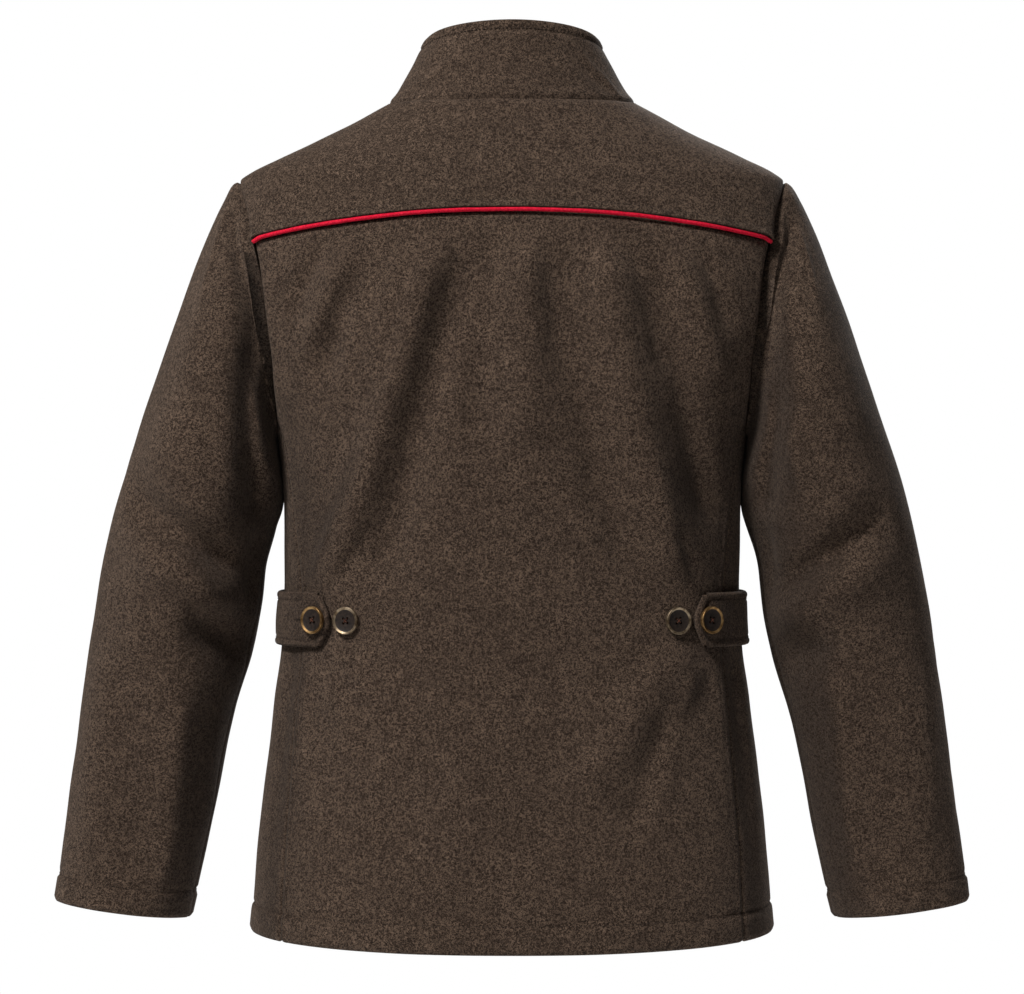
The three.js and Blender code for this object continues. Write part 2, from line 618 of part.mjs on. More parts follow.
// ---- buttons ----
async function buttonGeometry() {
  const wasm = await Module();
  wasm.setup();
  const solid = (geometry) => {
    geometry.deleteAttribute("normal");
    geometry.deleteAttribute("uv");
    const merged = mergeVertices(geometry, 1e-3);
    const vertProperties = merged.attributes.position.array;
    const triVerts = new Uint32Array(merged.index.array);
    return new wasm.Manifold(new wasm.Mesh({ numProp: 3, vertProperties, triVerts }));
  };
  const profile = BUTTON_SECTION.map(([r, h]) => new THREE.Vector2(r, h));
  let button = solid(new THREE.LatheGeometry(profile, BUTTON.sides));
  for (const [x, z] of [[1, 1], [1, -1], [-1, -1], [-1, 1]]) {
    const hole = new THREE.CylinderGeometry(BUTTON.hole, BUTTON.hole, 3 * BUTTON.thick, BUTTON.holeSides);
    hole.translate(x * BUTTON.spread, BUTTON.thick / 2, z * BUTTON.spread);
    button = button.subtract(solid(hole));
  }
  const cut = button.getMesh();
  const geometry = new THREE.BufferGeometry();
  geometry.setAttribute("position", new THREE.BufferAttribute(cut.vertProperties, 3));
  geometry.setIndex(new THREE.BufferAttribute(cut.triVerts, 1));
  geometry.computeVertexNormals();
  return geometry;
}

// ---- the assembled jacket ----
const jacket = new THREE.Group();

function add(name, geometry, finish, parent = jacket) {
  const mesh = new THREE.Mesh(geometry, new THREE.MeshStandardMaterial(finish));
  mesh.name = name;
  parent.add(mesh);
  return mesh;
}

const flip = (patch) => patch.map((row) => row.map(mirrored));

const yokeHalf = trim(yokePatch(1), { right: true });
const yokeWhole = yokeHalf.map((row) => [...row.slice(1).map(mirrored).reverse(), ...row]);
add("back_yoke", clothGeometry([trim(yokeWhole, { top: true })], CLOTH), LODEN);
add("back_panel", clothGeometry([trim(backPatch(), { left: true, right: true })], CLOTH), LODEN);

function frontGeometry(inside, mirror) {
  const [upper, lower] = frontPatches(inside);
  const chest = trim(upper, { right: true });
  const chestTrimmed = [...chest.slice(0, -1), trim(chest, { bottom: true }).pop()];
  const trimmedLower = trim(lower, { left: true });
  const armpit = trim(lower, { top: true })[0].slice(0, UNDERARM_ANGLES.length - 1);
  const topRow = [...armpit, ...[...chestTrimmed[0]].reverse()];
  topRow[0] = trim([topRow, trimmedLower[1]], { left: true })[0][0];
  const patches = [chestTrimmed, [topRow, ...trimmedLower.slice(1)]];
  return clothGeometry(mirror ? patches.map(flip) : patches, CLOTH);
}
add("front_left", frontGeometry(0, false), LODEN);
add("front_right", frontGeometry(UNDERLAP, true), LODEN);
add("collar", clothGeometry([collarPatch()], CLOTH), LODEN);

const { behind, before } = SLEEVE_SEAMS;
const topAngles = [
  before,
  ...ARMHOLE_ANGLES.filter((angle) => angle > before && angle < 360),
  ...ARMHOLE_ANGLES.filter((angle) => angle < behind),
  behind,
];
const underAngles = [behind, ...ARMHOLE_ANGLES.filter((angle) => angle > behind && angle < before), before];
for (const [piece, angles] of [["top_sleeve", topAngles], ["under_sleeve", underAngles]]) {
  const patch = sleevePatch(angles);
  add(piece + "_left", clothGeometry([patch], CLOTH), LODEN);
  add(piece + "_right", clothGeometry([flip(patch)], CLOTH), LODEN);
}

const tab = tabPatch();
add("tab_left", clothGeometry([tab], TAB_WALL), LODEN);
add("tab_right", clothGeometry([flip(tab)], TAB_WALL), LODEN);

// The piping: a round cord let into the yoke seam, half sunk between the two cut edges.
const pipingEnd = armholePoint(PIPING_ANGLE).x - PIPING_INSET;
const pipingRoute = steps(PIPING_STATIONS).map((t) => {
  const x = mix(-pipingEnd, pipingEnd, t);
  const z = pipingZ(x);
  return onTorso(point(x, torsoY(x, z, 1), z), -PIPING_SUNK).p;
});
const pipingSection = new THREE.Shape(
  Array.from({ length: PIPING_SIDES }, (_, i) => {
    const turn = (2 * Math.PI * i) / PIPING_SIDES;
    return new THREE.Vector2(PIPING_RADIUS * Math.cos(turn), PIPING_RADIUS * Math.sin(turn));
  }),
);
const pipingGeometry = new THREE.ExtrudeGeometry(pipingSection, {
  steps: PIPING_STEPS,
  curveSegments: 1,
  extrudePath: new THREE.CatmullRomCurve3(pipingRoute),
});
add("yoke_piping", pipingGeometry, PIPING);

const button = await buttonGeometry();
function addButton(name, x, z, facing, lift) {
  const seat = onTorso(point(x, torsoY(x, z, facing), z), lift + BUTTON_CLEAR);
  const mesh = add(name, button, HORN);
  mesh.quaternion.setFromUnitVectors(point(0, 1, 0), seat.n);
  mesh.position.copy(seat.p);
}
const onTab = TAB_CLEAR + TAB_WALL;
addButton("tab_button_left", TAB_BUTTON_X, TAB.middleZ, 1, onTab);
addButton("tab_button_right", -TAB_BUTTON_X, TAB.middleZ, 1, onTab);
addButton("back_button_left", BACK_BUTTON_X, TAB.middleZ, 1, 0);
addButton("back_button_right", -BACK_BUTTON_X, TAB.middleZ, 1, 0);
for (let i = 0; i < FRONT_BUTTONS.count; i += 1) {
  addButton("front_button_" + (i + 1), 0, FRONT_BUTTONS.top + i * FRONT_BUTTONS.step, -1, 0);
}

export default jacket;
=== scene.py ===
import math

import bmesh
import bpy
import numpy as np
from mathutils import Matrix, Vector


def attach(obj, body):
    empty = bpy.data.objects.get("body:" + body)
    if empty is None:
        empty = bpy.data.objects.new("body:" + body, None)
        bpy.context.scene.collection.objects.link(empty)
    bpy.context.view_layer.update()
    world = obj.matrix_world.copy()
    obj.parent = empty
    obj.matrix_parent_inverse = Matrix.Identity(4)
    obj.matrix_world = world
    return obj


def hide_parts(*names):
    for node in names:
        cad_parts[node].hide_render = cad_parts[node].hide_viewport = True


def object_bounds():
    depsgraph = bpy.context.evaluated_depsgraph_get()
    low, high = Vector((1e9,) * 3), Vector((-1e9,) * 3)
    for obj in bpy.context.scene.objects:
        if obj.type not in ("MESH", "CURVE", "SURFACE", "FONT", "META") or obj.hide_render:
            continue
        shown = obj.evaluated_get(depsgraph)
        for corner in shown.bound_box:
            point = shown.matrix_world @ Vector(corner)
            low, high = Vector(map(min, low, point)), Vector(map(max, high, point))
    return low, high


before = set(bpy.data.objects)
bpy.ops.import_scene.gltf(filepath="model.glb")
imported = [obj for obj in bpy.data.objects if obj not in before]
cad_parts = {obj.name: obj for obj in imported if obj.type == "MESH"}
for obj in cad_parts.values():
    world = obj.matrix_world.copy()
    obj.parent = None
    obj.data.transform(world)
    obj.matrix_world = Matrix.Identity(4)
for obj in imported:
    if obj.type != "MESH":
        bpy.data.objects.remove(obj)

cad_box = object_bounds()
bpy.ops.object.select_all(action="DESELECT")

# ---- The studio ----
# A plain pale floor under the jacket, a camera level with its waist behind the wearer's back, and
# soft lights: one high on the wearer's left, and a dimmer one in front of the jacket.
MM = 0.001
CAMERA_BACK = 2600 * MM
CAMERA_HEIGHT = -333 * MM
LENS = 107.5
FLOOR_DROP = 0.35  # the floor lies this far under the hem
FLOOR_RADIUS = 1.7
FILL_STRENGTH = 0.115
LIGHTS_AIM = Vector((0, 0, -0.35))

camera_data = bpy.data.cameras.new("camera")
camera_data.lens = LENS
camera = bpy.data.objects.new("camera", camera_data)
camera.location = (0, CAMERA_BACK, CAMERA_HEIGHT)
camera.rotation_euler = (math.pi / 2, 0, math.pi)
bpy.context.collection.objects.link(camera)
bpy.context.scene.camera = camera
bpy.context.scene.view_settings.view_transform = "Standard"

floor_height = cad_box[0][2] - FLOOR_DROP
bpy.ops.mesh.primitive_circle_add(
    vertices=96, radius=FLOOR_RADIUS, fill_type="NGON", location=(0, 0, floor_height)
)
floor = bpy.context.object
floor.name = "floor"
floor_paint = bpy.data.materials.new("pale floor")
floor_paint.use_nodes = True
floor_paint.node_tree.nodes["Principled BSDF"].inputs["Base Color"].default_value = (0.9, 0.9, 0.9, 1)
floor_paint.node_tree.nodes["Principled BSDF"].inputs["Roughness"].default_value = 0.9
floor.data.materials.append(floor_paint)

world = bpy.data.worlds.new("studio")
bpy.context.scene.world = world
world.use_nodes = True
sky = world.node_tree
backdrop = sky.nodes["Background"]
backdrop.inputs["Strength"].default_value = 1.0
fill = sky.nodes.new("ShaderNodeBackground")
fill.inputs["Strength"].default_value = FILL_STRENGTH
seen = sky.nodes.new("ShaderNodeLightPath")
blend = sky.nodes.new("ShaderNodeMixShader")
backdrop.inputs["Color"].default_value = (1, 1, 1, 1)
fill.inputs["Color"].default_value = (1, 1, 1, 1)
sky.links.new(seen.outputs["Is Camera Ray"], blend.inputs["Fac"])
sky.links.new(fill.outputs["Background"], blend.inputs[1])
sky.links.new(backdrop.outputs["Background"], blend.inputs[2])
sky.links.new(blend.outputs["Shader"], sky.nodes["World Output"].inputs["Surface"])

LIGHTS = (
    ("key", (1.6, 1.9, 2.25), 0.7, 138),
    ("front", (-1.2, -2.4, 1.0), 1.6, 60),
)
for light_name, place, width, power in LIGHTS:
    light = bpy.data.lights.new(light_name, "AREA")
    light.size = width
    light.energy = power
    lamp = bpy.data.objects.new(light_name, light)
    lamp.location = place
    lamp.rotation_euler = (LIGHTS_AIM - Vector(place)).to_track_quat("-Z", "Y").to_euler()
    bpy.context.collection.objects.link(lamp)


# ---- The yoke ----
# One piece of fulled loden across the shoulders, from the collar and shoulder seams down to the piped
# seam. Its lower edge is pressed up over the seam and sewn down a finger's breadth above the piping.

def table(names, *rows):
    """Rows of numbers as named columns."""
    return {name: np.array(column, float) for name, column in zip(names.split(), zip(*rows))}


def read(rows, key, name, at):
    """A smooth value of one column at places along the key column."""
    keys, values = rows[key], rows[name]
    if keys[0] > keys[-1]:
        keys, values = keys[::-1], values[::-1]
    slope = np.diff(values) / np.diff(keys)
    before, after = slope[:-1], slope[1:]
    same_way = before * after > 0
    middle = np.where(same_way, 2 * before * after / np.where(same_way, before + after, 1), 0)
    tangent = np.concatenate([slope[:1], middle, slope[-1:]])
    at = np.asarray(at, float)
    i = np.clip(np.searchsorted(keys, at) - 1, 0, len(keys) - 2)
    span = keys[i + 1] - keys[i]
    t = np.clip((at - keys[i]) / span, 0, 1)
    return (
        values[i] * (2 * t**3 - 3 * t**2 + 1)
        + tangent[i] * span * (t**3 - 2 * t**2 + t)
        + values[i + 1] * (3 * t**2 - 2 * t**3)
        + tangent[i + 1] * span * (t**3 - t**2)
    )


def smooth(x, low, high):
    t = np.clip((x - low) / (high - low), 0, 1)
    return t * t * (3 - 2 * t)


def bump(x, width):
    return np.exp(-((x / width) ** 2))


# The body's form at each height: half width, depth of the back and of the front, squareness.
TORSO = table(
    "z half back front power",
    (0, 105, 72, 72, 2.0),
    (-20, 142, 80, 77, 2.0),
    (-46, 196, 90, 86, 2.1),
    (-58, 221, 94, 90, 2.15),
    (-66, 231, 97, 93, 2.2),
    (-95, 238, 104, 102, 2.3),
    (-121, 241, 109, 110, 2.4),
    (-174, 237, 114, 119, 2.4),
    (-230, 219, 114, 122, 2.4),
    (-282, 199, 111, 122, 2.4),
    (-340, 193.5, 106, 118, 2.35),
    (-404, 193, 102, 114, 2.3),
    (-455, 195, 102, 113, 2.3),
    (-505, 201.5, 106, 115, 2.3),
    (-575, 210, 113, 119, 2.3),
    (-640, 217, 119, 123, 2.3),
    (-705, 222.5, 124, 126, 2.3),
)
SHOULDER_X, SHOULDER_Z = 231, -66
NECK_HALF, NECK_BACK_DROP, NECK_FRONT_DROP = 105, 3, 56
ARMHOLE_Z, ARMHOLE_HALF_HEIGHT, ARMHOLE_HALF_DEPTH = -174, 108, 68
PIPING_ANGLE, PIPING_HALF_ANGLE = 59, 1.4
PIPING_Z, PIPING_FALL, PIPING_REACH = -97.6, 20, 210
PIPING_ROOM = 1.9  # from the middle of the piping to each cut edge
WALL = 2.2
SEAM_HALF_GAP = 0.03


def section(z, back):
    depth = np.where(back, read(TORSO, "z", "back", z), read(TORSO, "z", "front", z))
    return read(TORSO, "z", "half", z), depth, read(TORSO, "z", "power", z)


def torso_y(x, z, back):
    half, depth, power = section(z, back)
    left = np.maximum(0, 1 - (np.abs(x) / half) ** power)
    return np.where(back, 1, -1) * depth * left ** (1 / power)


def torso_x(y, z):
    half, depth, power = section(z, y >= 0)
    left = np.maximum(0, 1 - (np.abs(y) / depth) ** power)
    return half * left ** (1 / power)


def torso_normals(points):
    x, y, z = np.moveaxis(points, -1, 0)

    def level(height):
        half, depth, power = section(height, y >= 0)
        return (np.abs(x) / half) ** power + (np.abs(y) / depth) ** power

    half, depth, power = section(z, y >= 0)
    up, down = np.minimum(0, z + 1), z - 1
    out = np.stack(
        [
            np.sign(x) * power * (np.abs(x) / half) ** (power - 1) / half,
            np.sign(y) * power * (np.abs(y) / depth) ** (power - 1) / depth,
            (level(up) - level(down)) / (up - down),
        ],
        axis=-1,
    )
    return out / np.linalg.norm(out, axis=-1, keepdims=True)


# Long folds of the body, then its finer creases: the side they lie on, three places they run through,
# half width and how far they stand out.
FOLDS = table(
    "back x0 z0 x1 z1 x2 z2 width rise",
    (1, 58, -112, 101, -262, 158, -420, 17, 10.3),
    (1, 34, -112, 78, -280, 113, -415, 20, -9.2),
    (1, 129, -112, 146, -165, 176, -230, 12, 6.9),
    (1, 124, -130, 146, -194, 158, -262, 12, -6.9),
    (1, -14, -106, -13, -190, -7, -310, 18, 6.9),
    (1, -40, -108, -57, -260, -105, -410, 17, -8),
    (1, -72, -112, -105, -276, -145, -420, 17, 9.2),
    (1, -115, -118, -138, -235, -170, -372, 14, -8),
    (1, -127, -114, -160, -199, -176, -262, 12, 5.7),
    (1, -150, -440, -105, -505, -50, -590, 22, 6.9),
    (1, 150, -445, 125, -515, 96, -590, 20, 4.6),
    (-1, 66, -110, 104, -240, 128, -400, 20, 9.2),
    (-1, 44, -120, 70, -260, 92, -420, 20, -8),
    (-1, -72, -114, -98, -250, -130, -415, 20, 8),
    (-1, -48, -120, -74, -250, -98, -400, 18, -6.9),
)
FOLD_FADE = 45


def fold_rise(points, folds, fade_length):
    x, y, z = np.moveaxis(points, -1, 0)
    rise = np.zeros(x.shape)
    for back, x0, z0, x1, z1, x2, z2, width, height in zip(*folds.values()):
        t = np.clip((z - z0) / (z2 - z0), 0, 1)
        m = (z1 - z0) / (z2 - z0)
        bow = (x1 - (x0 + (x2 - x0) * m)) / (m * (1 - m))
        line = x0 + (x2 - x0) * t + bow * t * (1 - t)
        length = z0 - z2
        fade = smooth(t * length, 0, fade_length) * smooth((1 - t) * length, 0, fade_length)
        rise += np.where((y >= 0) == (back > 0), height * fade * bump(x - line, width), 0)
    return rise


CREASES = table(
    "back x0 z0 x1 z1 x2 z2 width rise",
    (1, 150, -112, 168, -150, 184, -196, 8, -4.8),
    (1, 84, -116, 104, -180, 118, -250, 9, 3.1),
    (1, 12, -108, 24, -200, 30, -300, 13, -3.8),
    (1, -24, -110, -30, -170, -40, -240, 8, -2.6),
    (1, -92, -116, -112, -180, -124, -240, 8, -3.1),
    (1, -152, -122, -168, -160, -178, -204, 8, -4.1),
    (1, 118, -350, 132, -385, 150, -414, 7, -3.1),
    (1, 136, -330, 152, -372, 168, -410, 6, 2.6),
    (1, -128, -345, -142, -380, -154, -412, 7, -3.1),
    (1, 158, -462, 128, -505, 118, -566, 12, -4.1),
    (1, -158, -462, -132, -530, -120, -600, 10, 3.1),
    (1, -140, -500, -112, -560, -86, -620, 14, -4.1),
    (1, 60, -450, 48, -540, 44, -650, 22, 3.4),
    (1, -20, -430, -26, -520, -22, -640, 24, -3.1),
    (-1, 150, -130, 160, -190, 168, -250, 10, -5.2),
    (-1, -150, -130, -158, -190, -170, -250, 10, -5.2),
    (-1, 120, -430, 108, -520, 104, -640, 22, 5.2),
    (-1, -118, -430, -110, -520, -108, -640, 22, 4.1),
)
CREASE_FADE = 30


def onto_torso(points, out=0.0):
    """Points of the form, with its folds, moved out by some distance, and their outward directions."""
    normals = torso_normals(points)
    x, y, z = np.moveaxis(points, -1, 0)
    # A slow unevenness that no flat cloth is free of.
    wander = 0.45 * np.sin(x / 23 + 1.3 * np.sin(z / 61)) * np.sin(z / 37 + y / 29 + 0.8)
    wander += 0.25 * np.sin(x / 9.5 + z / 31) * np.sin(z / 13.7 - x / 41 + 2.1)
    rise = fold_rise(points, FOLDS, FOLD_FADE) + fold_rise(points, CREASES, CREASE_FADE) + wander + out
    return points + normals * rise[..., None], normals


def armhole_z(angle):
    return ARMHOLE_Z + ARMHOLE_HALF_HEIGHT * np.cos(np.radians(angle))


def armhole_points(angle):
    z = armhole_z(angle)
    y = ARMHOLE_HALF_DEPTH * np.sin(np.radians(angle))
    return np.stack([torso_x(y, z), y, z], axis=-1)


def neck_points(degrees):
    """The neckline, from the centre back (0) past the side neck (90) to the centre front (180)."""
    turn = np.radians(degrees)
    back = np.asarray(degrees) <= 90
    x = NECK_HALF * np.sin(turn)
    z = -np.where(back, NECK_BACK_DROP, NECK_FRONT_DROP) * np.cos(turn) ** 2
    return np.stack([x, torso_y(x, z, back), z], axis=-1)


def piping_z(x):
    return PIPING_Z - PIPING_FALL * (np.abs(x) / PIPING_REACH) ** 2


def lines(length, spacing=3.2):
    """Even grid lines, with closer ones next to both ends, as shares of the length."""
    near = np.array([0, 0.7, 1.6, 2.8, 4.4, 6.4])
    count = max(1, round((length - 2 * near[-1]) / spacing))
    middle = np.linspace(near[-1], length - near[-1], count + 1)
    share = np.concatenate([near[:-1], middle, length - near[-2::-1]])
    return (SEAM_HALF_GAP + share * (1 - 2 * SEAM_HALF_GAP / length)) / length


def reach(points, axis):
    """Length along the grid from its first line."""
    run = np.cumsum(np.linalg.norm(np.diff(points, axis=axis), axis=2), axis=axis)
    return np.concatenate([np.zeros_like(np.take(run, [0], axis=axis)), run], axis=axis)


def edge_distances(points):
    down, across = reach(points, 0), reach(points, 1)
    return down, down[-1:] - down, across, across[:, -1:] - across


RIM_STEPS = 4
RIM_FADE = 0.005  # share of a rim over which its roll dies away at a seam
WELD = 0.12
# How far the painted shade between arm and body pulls the cloth towards its dark colour.
PAINTED_SHADE_SHARE = 0.6


def painted_shade(points, normals):
    """Painted shade between arm and body, 0 to 1: the sides of arm and body that face each other."""
    x, z = points[..., 0], points[..., 2]
    outwards = np.sign(x) * normals[..., 0]
    on_arm = smooth(np.abs(x) - torso_x(0 * z, z), -22, 2)
    arm = on_arm * smooth(-outwards, 0.1, 0.7)
    body = (1 - on_arm) * smooth(outwards, 0.45, 0.85) * smooth(-z, 240, 330)
    return np.maximum(arm, body) * smooth(-z, 90, 150)


def cloth(name, patches, material):
    """A closed wall of cloth. A patch is (points, normals, wall, rims), a rim (side, bulge, taper)."""
    verts, faces = [], []

    def add_verts(rows):
        start = sum(len(v) for v in verts)
        verts.append(rows.reshape(-1, 3))
        return start + np.arange(rows[..., 0].size).reshape(rows.shape[:-1])

    def add_faces(grid, flip):
        quads = np.stack([grid[:-1, :-1], grid[:-1, 1:], grid[1:, 1:], grid[1:, :-1]], axis=-1)
        quads = quads.reshape(-1, 4)
        faces.append(quads[:, ::-1] if flip else quads)

    for points, normals, wall, rims in patches:
        inner = points - normals * np.broadcast_to(wall, points.shape[:2])[..., None]
        across = np.gradient(points, axis=1)
        down = np.gradient(points, axis=0)
        flip = np.sum(np.cross(across, down) * normals) < 0
        outer_ids, inner_ids = add_verts(points), add_verts(inner)
        add_faces(outer_ids, flip)
        add_faces(inner_ids, not flip)
        for side, bulge, taper in rims:
            pick = {"t": (0, 1), "b": (-1, -2), "l": (0, 1), "r": (-1, -2)}[side]
            axis = 0 if side in "tb" else 1
            edge, behind = (np.take(points, i, axis=axis) for i in pick)
            deep = np.take(inner, pick[0], axis=axis)
            way = edge - behind
            way /= np.maximum(np.linalg.norm(way, axis=1, keepdims=True), 1e-9)
            thick = np.linalg.norm(edge - deep, axis=1, keepdims=True)
            place = np.linspace(0, 1, len(edge))
            ends = np.ones(len(edge))
            if "a" in taper:
                ends = ends * smooth(place, 0, RIM_FADE)
            if "z" in taper:
                ends = ends * smooth(1 - place, 0, RIM_FADE)
            strip = [np.take(outer_ids, pick[0], axis=axis)]
            for k in range(1, RIM_STEPS):
                turn = math.pi * k / RIM_STEPS
                share = (1 - math.cos(turn)) / 2 if bulge else k / RIM_STEPS
                row = edge + (deep - edge) * share
                row = row + way * thick * (bulge / 2 * math.sin(turn)) * ends[:, None]
                strip.append(add_verts(row[None])[0])
            strip.append(np.take(inner_ids, pick[0], axis=axis))
            add_faces(np.array(strip), flip ^ (side in "tr"))
    mesh = bpy.data.meshes.new(name)
    mesh.from_pydata((np.concatenate(verts) * MM).tolist(), [], np.concatenate(faces).tolist())
    shape = bmesh.new()
    shape.from_mesh(mesh)
    bmesh.ops.remove_doubles(shape, verts=shape.verts, dist=WELD * MM)
    bmesh.ops.dissolve_degenerate(shape, edges=shape.edges, dist=1e-6)
    shape.to_mesh(mesh)
    shape.free()
    for polygon in mesh.polygons:
        polygon.use_smooth = True
    places, ways = np.zeros((2, len(mesh.vertices) * 3))
    mesh.vertices.foreach_get("co", places)
    mesh.vertices.foreach_get("normal", ways)
    # Painted shade where arm and body face each other, kept on each point for the cloth's colour.
    shade_paint = painted_shade(places.reshape(-1, 3) / MM, ways.reshape(-1, 3))
    mesh.attributes.new("painted_shade", "FLOAT", "POINT").data.foreach_set("value", shade_paint)
    mesh.materials.append(material)
    piece = bpy.data.objects.new(name, mesh)
    bpy.context.collection.objects.link(piece)
    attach(piece, "root")
    return piece


def group_socket(group, name, way, kind="NodeSocketFloat", value=None):
    socket = group.interface.new_socket(name, in_out=way, socket_type=kind)
    if value is not None:
        socket.default_value = value


def nap_group():
    """Fulled, napped wool: short curly fibres, light and dark, over a mottled ground, with painted shade where
    arm and body face each other.
    """
    group = bpy.data.node_groups.new("loden nap", "ShaderNodeTree")
    group_socket(group, "Coordinates", "INPUT", "NodeSocketVector")
    group_socket(group, "Dark", "INPUT", "NodeSocketColor", (0.02, 0.013, 0.01, 1))
    group_socket(group, "Ground", "INPUT", "NodeSocketColor", (0.06, 0.04, 0.03, 1))
    group_socket(group, "Light", "INPUT", "NodeSocketColor", (0.2, 0.15, 0.12, 1))
    # Painted shade between arm and body, 0 to 1.
    group_socket(group, "Painted Shade", "INPUT")
    group_socket(group, "Color", "OUTPUT", "NodeSocketColor")
    group_socket(group, "Height", "OUTPUT")
    nodes, links = group.nodes, group.links
    entry, exit_ = nodes.new("NodeGroupInput"), nodes.new("NodeGroupOutput")

    def noise(scale, detail, offset, distortion=0.0):
        shift = nodes.new("ShaderNodeVectorMath")
        shift.inputs[1].default_value = offset
        links.new(entry.outputs["Coordinates"], shift.inputs[0])
        texture = nodes.new("ShaderNodeTexNoise")
        texture.inputs["Scale"].default_value = scale
        texture.inputs["Detail"].default_value = detail
        texture.inputs["Distortion"].default_value = distortion
        links.new(shift.outputs[0], texture.inputs["Vector"])
        return texture.outputs["Fac"]

    def math_node(operation, a, b=None):
        node = nodes.new("ShaderNodeMath")
        node.operation = operation
        for socket, value in zip(node.inputs, (a, b)):
            if value is None:
                continue
            if isinstance(value, (int, float)):
                socket.default_value = value
            else:
                links.new(value, socket)
        return node.outputs[0]

    def ramp(value, low, high, start=0.0, end=1.0):
        node = nodes.new("ShaderNodeMapRange")
        node.interpolation_type = "SMOOTHSTEP"
        for name, number in zip(("From Min", "From Max", "To Min", "To Max"), (low, high, start, end)):
            node.inputs[name].default_value = number
        links.new(value, node.inputs["Value"])
        return node.outputs["Result"]

    def fibres(scale, offset, thickness, cover):
        line = math_node("ABSOLUTE", math_node("SUBTRACT", noise(scale, 1.5, offset, 1.2), 0.5))
        thin = ramp(line, 0.0, thickness, 1.0, 0.0)
        patchy = ramp(noise(scale * 1.3, 1, (offset[1], offset[2], offset[0])), cover, cover + 0.08)
        return math_node("MULTIPLY", thin, patchy)

    def mixed(factor, a, b):
        node = nodes.new("ShaderNodeMix")
        node.data_type = "RGBA"
        links.new(factor, node.inputs["Factor"])
        links.new(a, node.inputs["A"])
        links.new(b, node.inputs["B"])
        return node.outputs["Result"]

    long_hair = fibres(270, (1.3, 0.2, 4.1), 0.045, 0.40)
    short_hair = fibres(380, (5.2, 7.7, 0.4), 0.055, 0.42)
    fine_hair = fibres(330, (3.9, 1.1, 8.4), 0.05, 0.44)
    pale = math_node("MAXIMUM", math_node("MAXIMUM", long_hair, short_hair), fine_hair)
    deep = fibres(420, (9.1, 3.3, 6.2), 0.05, 0.45)
    grain = noise(900, 2, (2.2, 8.1, 5.5))
    cloud = noise(14, 2, (0.7, 0.1, 3.9))
    patch = noise(75, 2, (4.7, 0.8, 1.9))
    ground = mixed(ramp(grain, 0.3, 0.7), entry.outputs["Dark"], entry.outputs["Ground"])
    darker = mixed(math_node("MULTIPLY", deep, 0.6), ground, entry.outputs["Dark"])
    bright = math_node("MULTIPLY", ramp(cloud, 0.3, 0.7, 0.88, 1.0), ramp(patch, 0.3, 0.7, 0.72, 1.0))
    full = mixed(math_node("MULTIPLY", pale, bright), darker, entry.outputs["Light"])
    # Painted shade: the colour goes towards the dark colour where arm and body face each other.
    color = mixed(math_node("MULTIPLY", entry.outputs["Painted Shade"], PAINTED_SHADE_SHARE), full, entry.outputs["Dark"])
    links.new(color, exit_.inputs["Color"])
    relief = math_node("SUBTRACT", math_node("ADD", pale, math_node("MULTIPLY", grain, 0.5)), deep)
    links.new(relief, exit_.inputs["Height"])
    return group


NAP = nap_group()


def wool(name, dark, ground, light, sheen, depth):
    material = bpy.data.materials.new(name)
    material.use_nodes = True
    nodes, links = material.node_tree.nodes, material.node_tree.links
    shader = nodes["Principled BSDF"]
    where = nodes.new("ShaderNodeTexCoord")
    nap = nodes.new("ShaderNodeGroup")
    nap.node_tree = NAP
    for socket, value in (("Dark", dark), ("Ground", ground), ("Light", light)):
        nap.inputs[socket].default_value = (*value, 1)
    relief = nodes.new("ShaderNodeBump")
    relief.inputs["Strength"].default_value = 0.7
    relief.inputs["Distance"].default_value = depth
    # The painted shade between arm and body, read from each point.
    shade_paint = nodes.new("ShaderNodeAttribute")
    shade_paint.attribute_name = "painted_shade"
    links.new(where.outputs["Object"], nap.inputs["Coordinates"])
    links.new(shade_paint.outputs["Fac"], nap.inputs["Painted Shade"])
    links.new(nap.outputs["Color"], shader.inputs["Base Color"])
    links.new(nap.outputs["Height"], relief.inputs["Height"])
    links.new(relief.outputs["Normal"], shader.inputs["Normal"])
    shader.inputs["Roughness"].default_value = 0.92
    shader.inputs["Specular IOR Level"].default_value = 0.18
    shader.inputs["Sheen Weight"].default_value = sheen
    shader.inputs["Sheen Roughness"].default_value = 0.45
    shader.inputs["Sheen Tint"].default_value = (1.0, 0.8, 0.66, 1)
    return material


LODEN = wool("loden", (0.0122, 0.0068, 0.0042), (0.0425, 0.0255, 0.0163), (0.193, 0.129, 0.0895), 0.1, 0.0006)
# A darker copy of the loden for the waist tabs: painted shade that darkens the tabs.
LODEN_SHADED = wool(
    "loden painted shade", (0.0112, 0.0063, 0.0039), (0.0355, 0.0209, 0.0133), (0.153, 0.101, 0.0695), 0.1, 0.0006
)

NECK_SHARE = 0.5  # the neckline takes this share of the yoke's top edge, the shoulder seam the rest


def top_edge(share, back):
    """The top edge from the centre out: the neckline, then the shoulder seam to its tip."""
    neck = np.minimum(share / NECK_SHARE, 1) * 90
    on_neck = neck_points(neck if back else 180 - neck)
    z = SHOULDER_Z * np.clip((share - NECK_SHARE) / (1 - NECK_SHARE), 0, 1)
    seam = np.stack([read(TORSO, "z", "half", z), 0 * z, z], axis=-1)
    return np.where((share <= NECK_SHARE)[..., None], on_neck, seam)


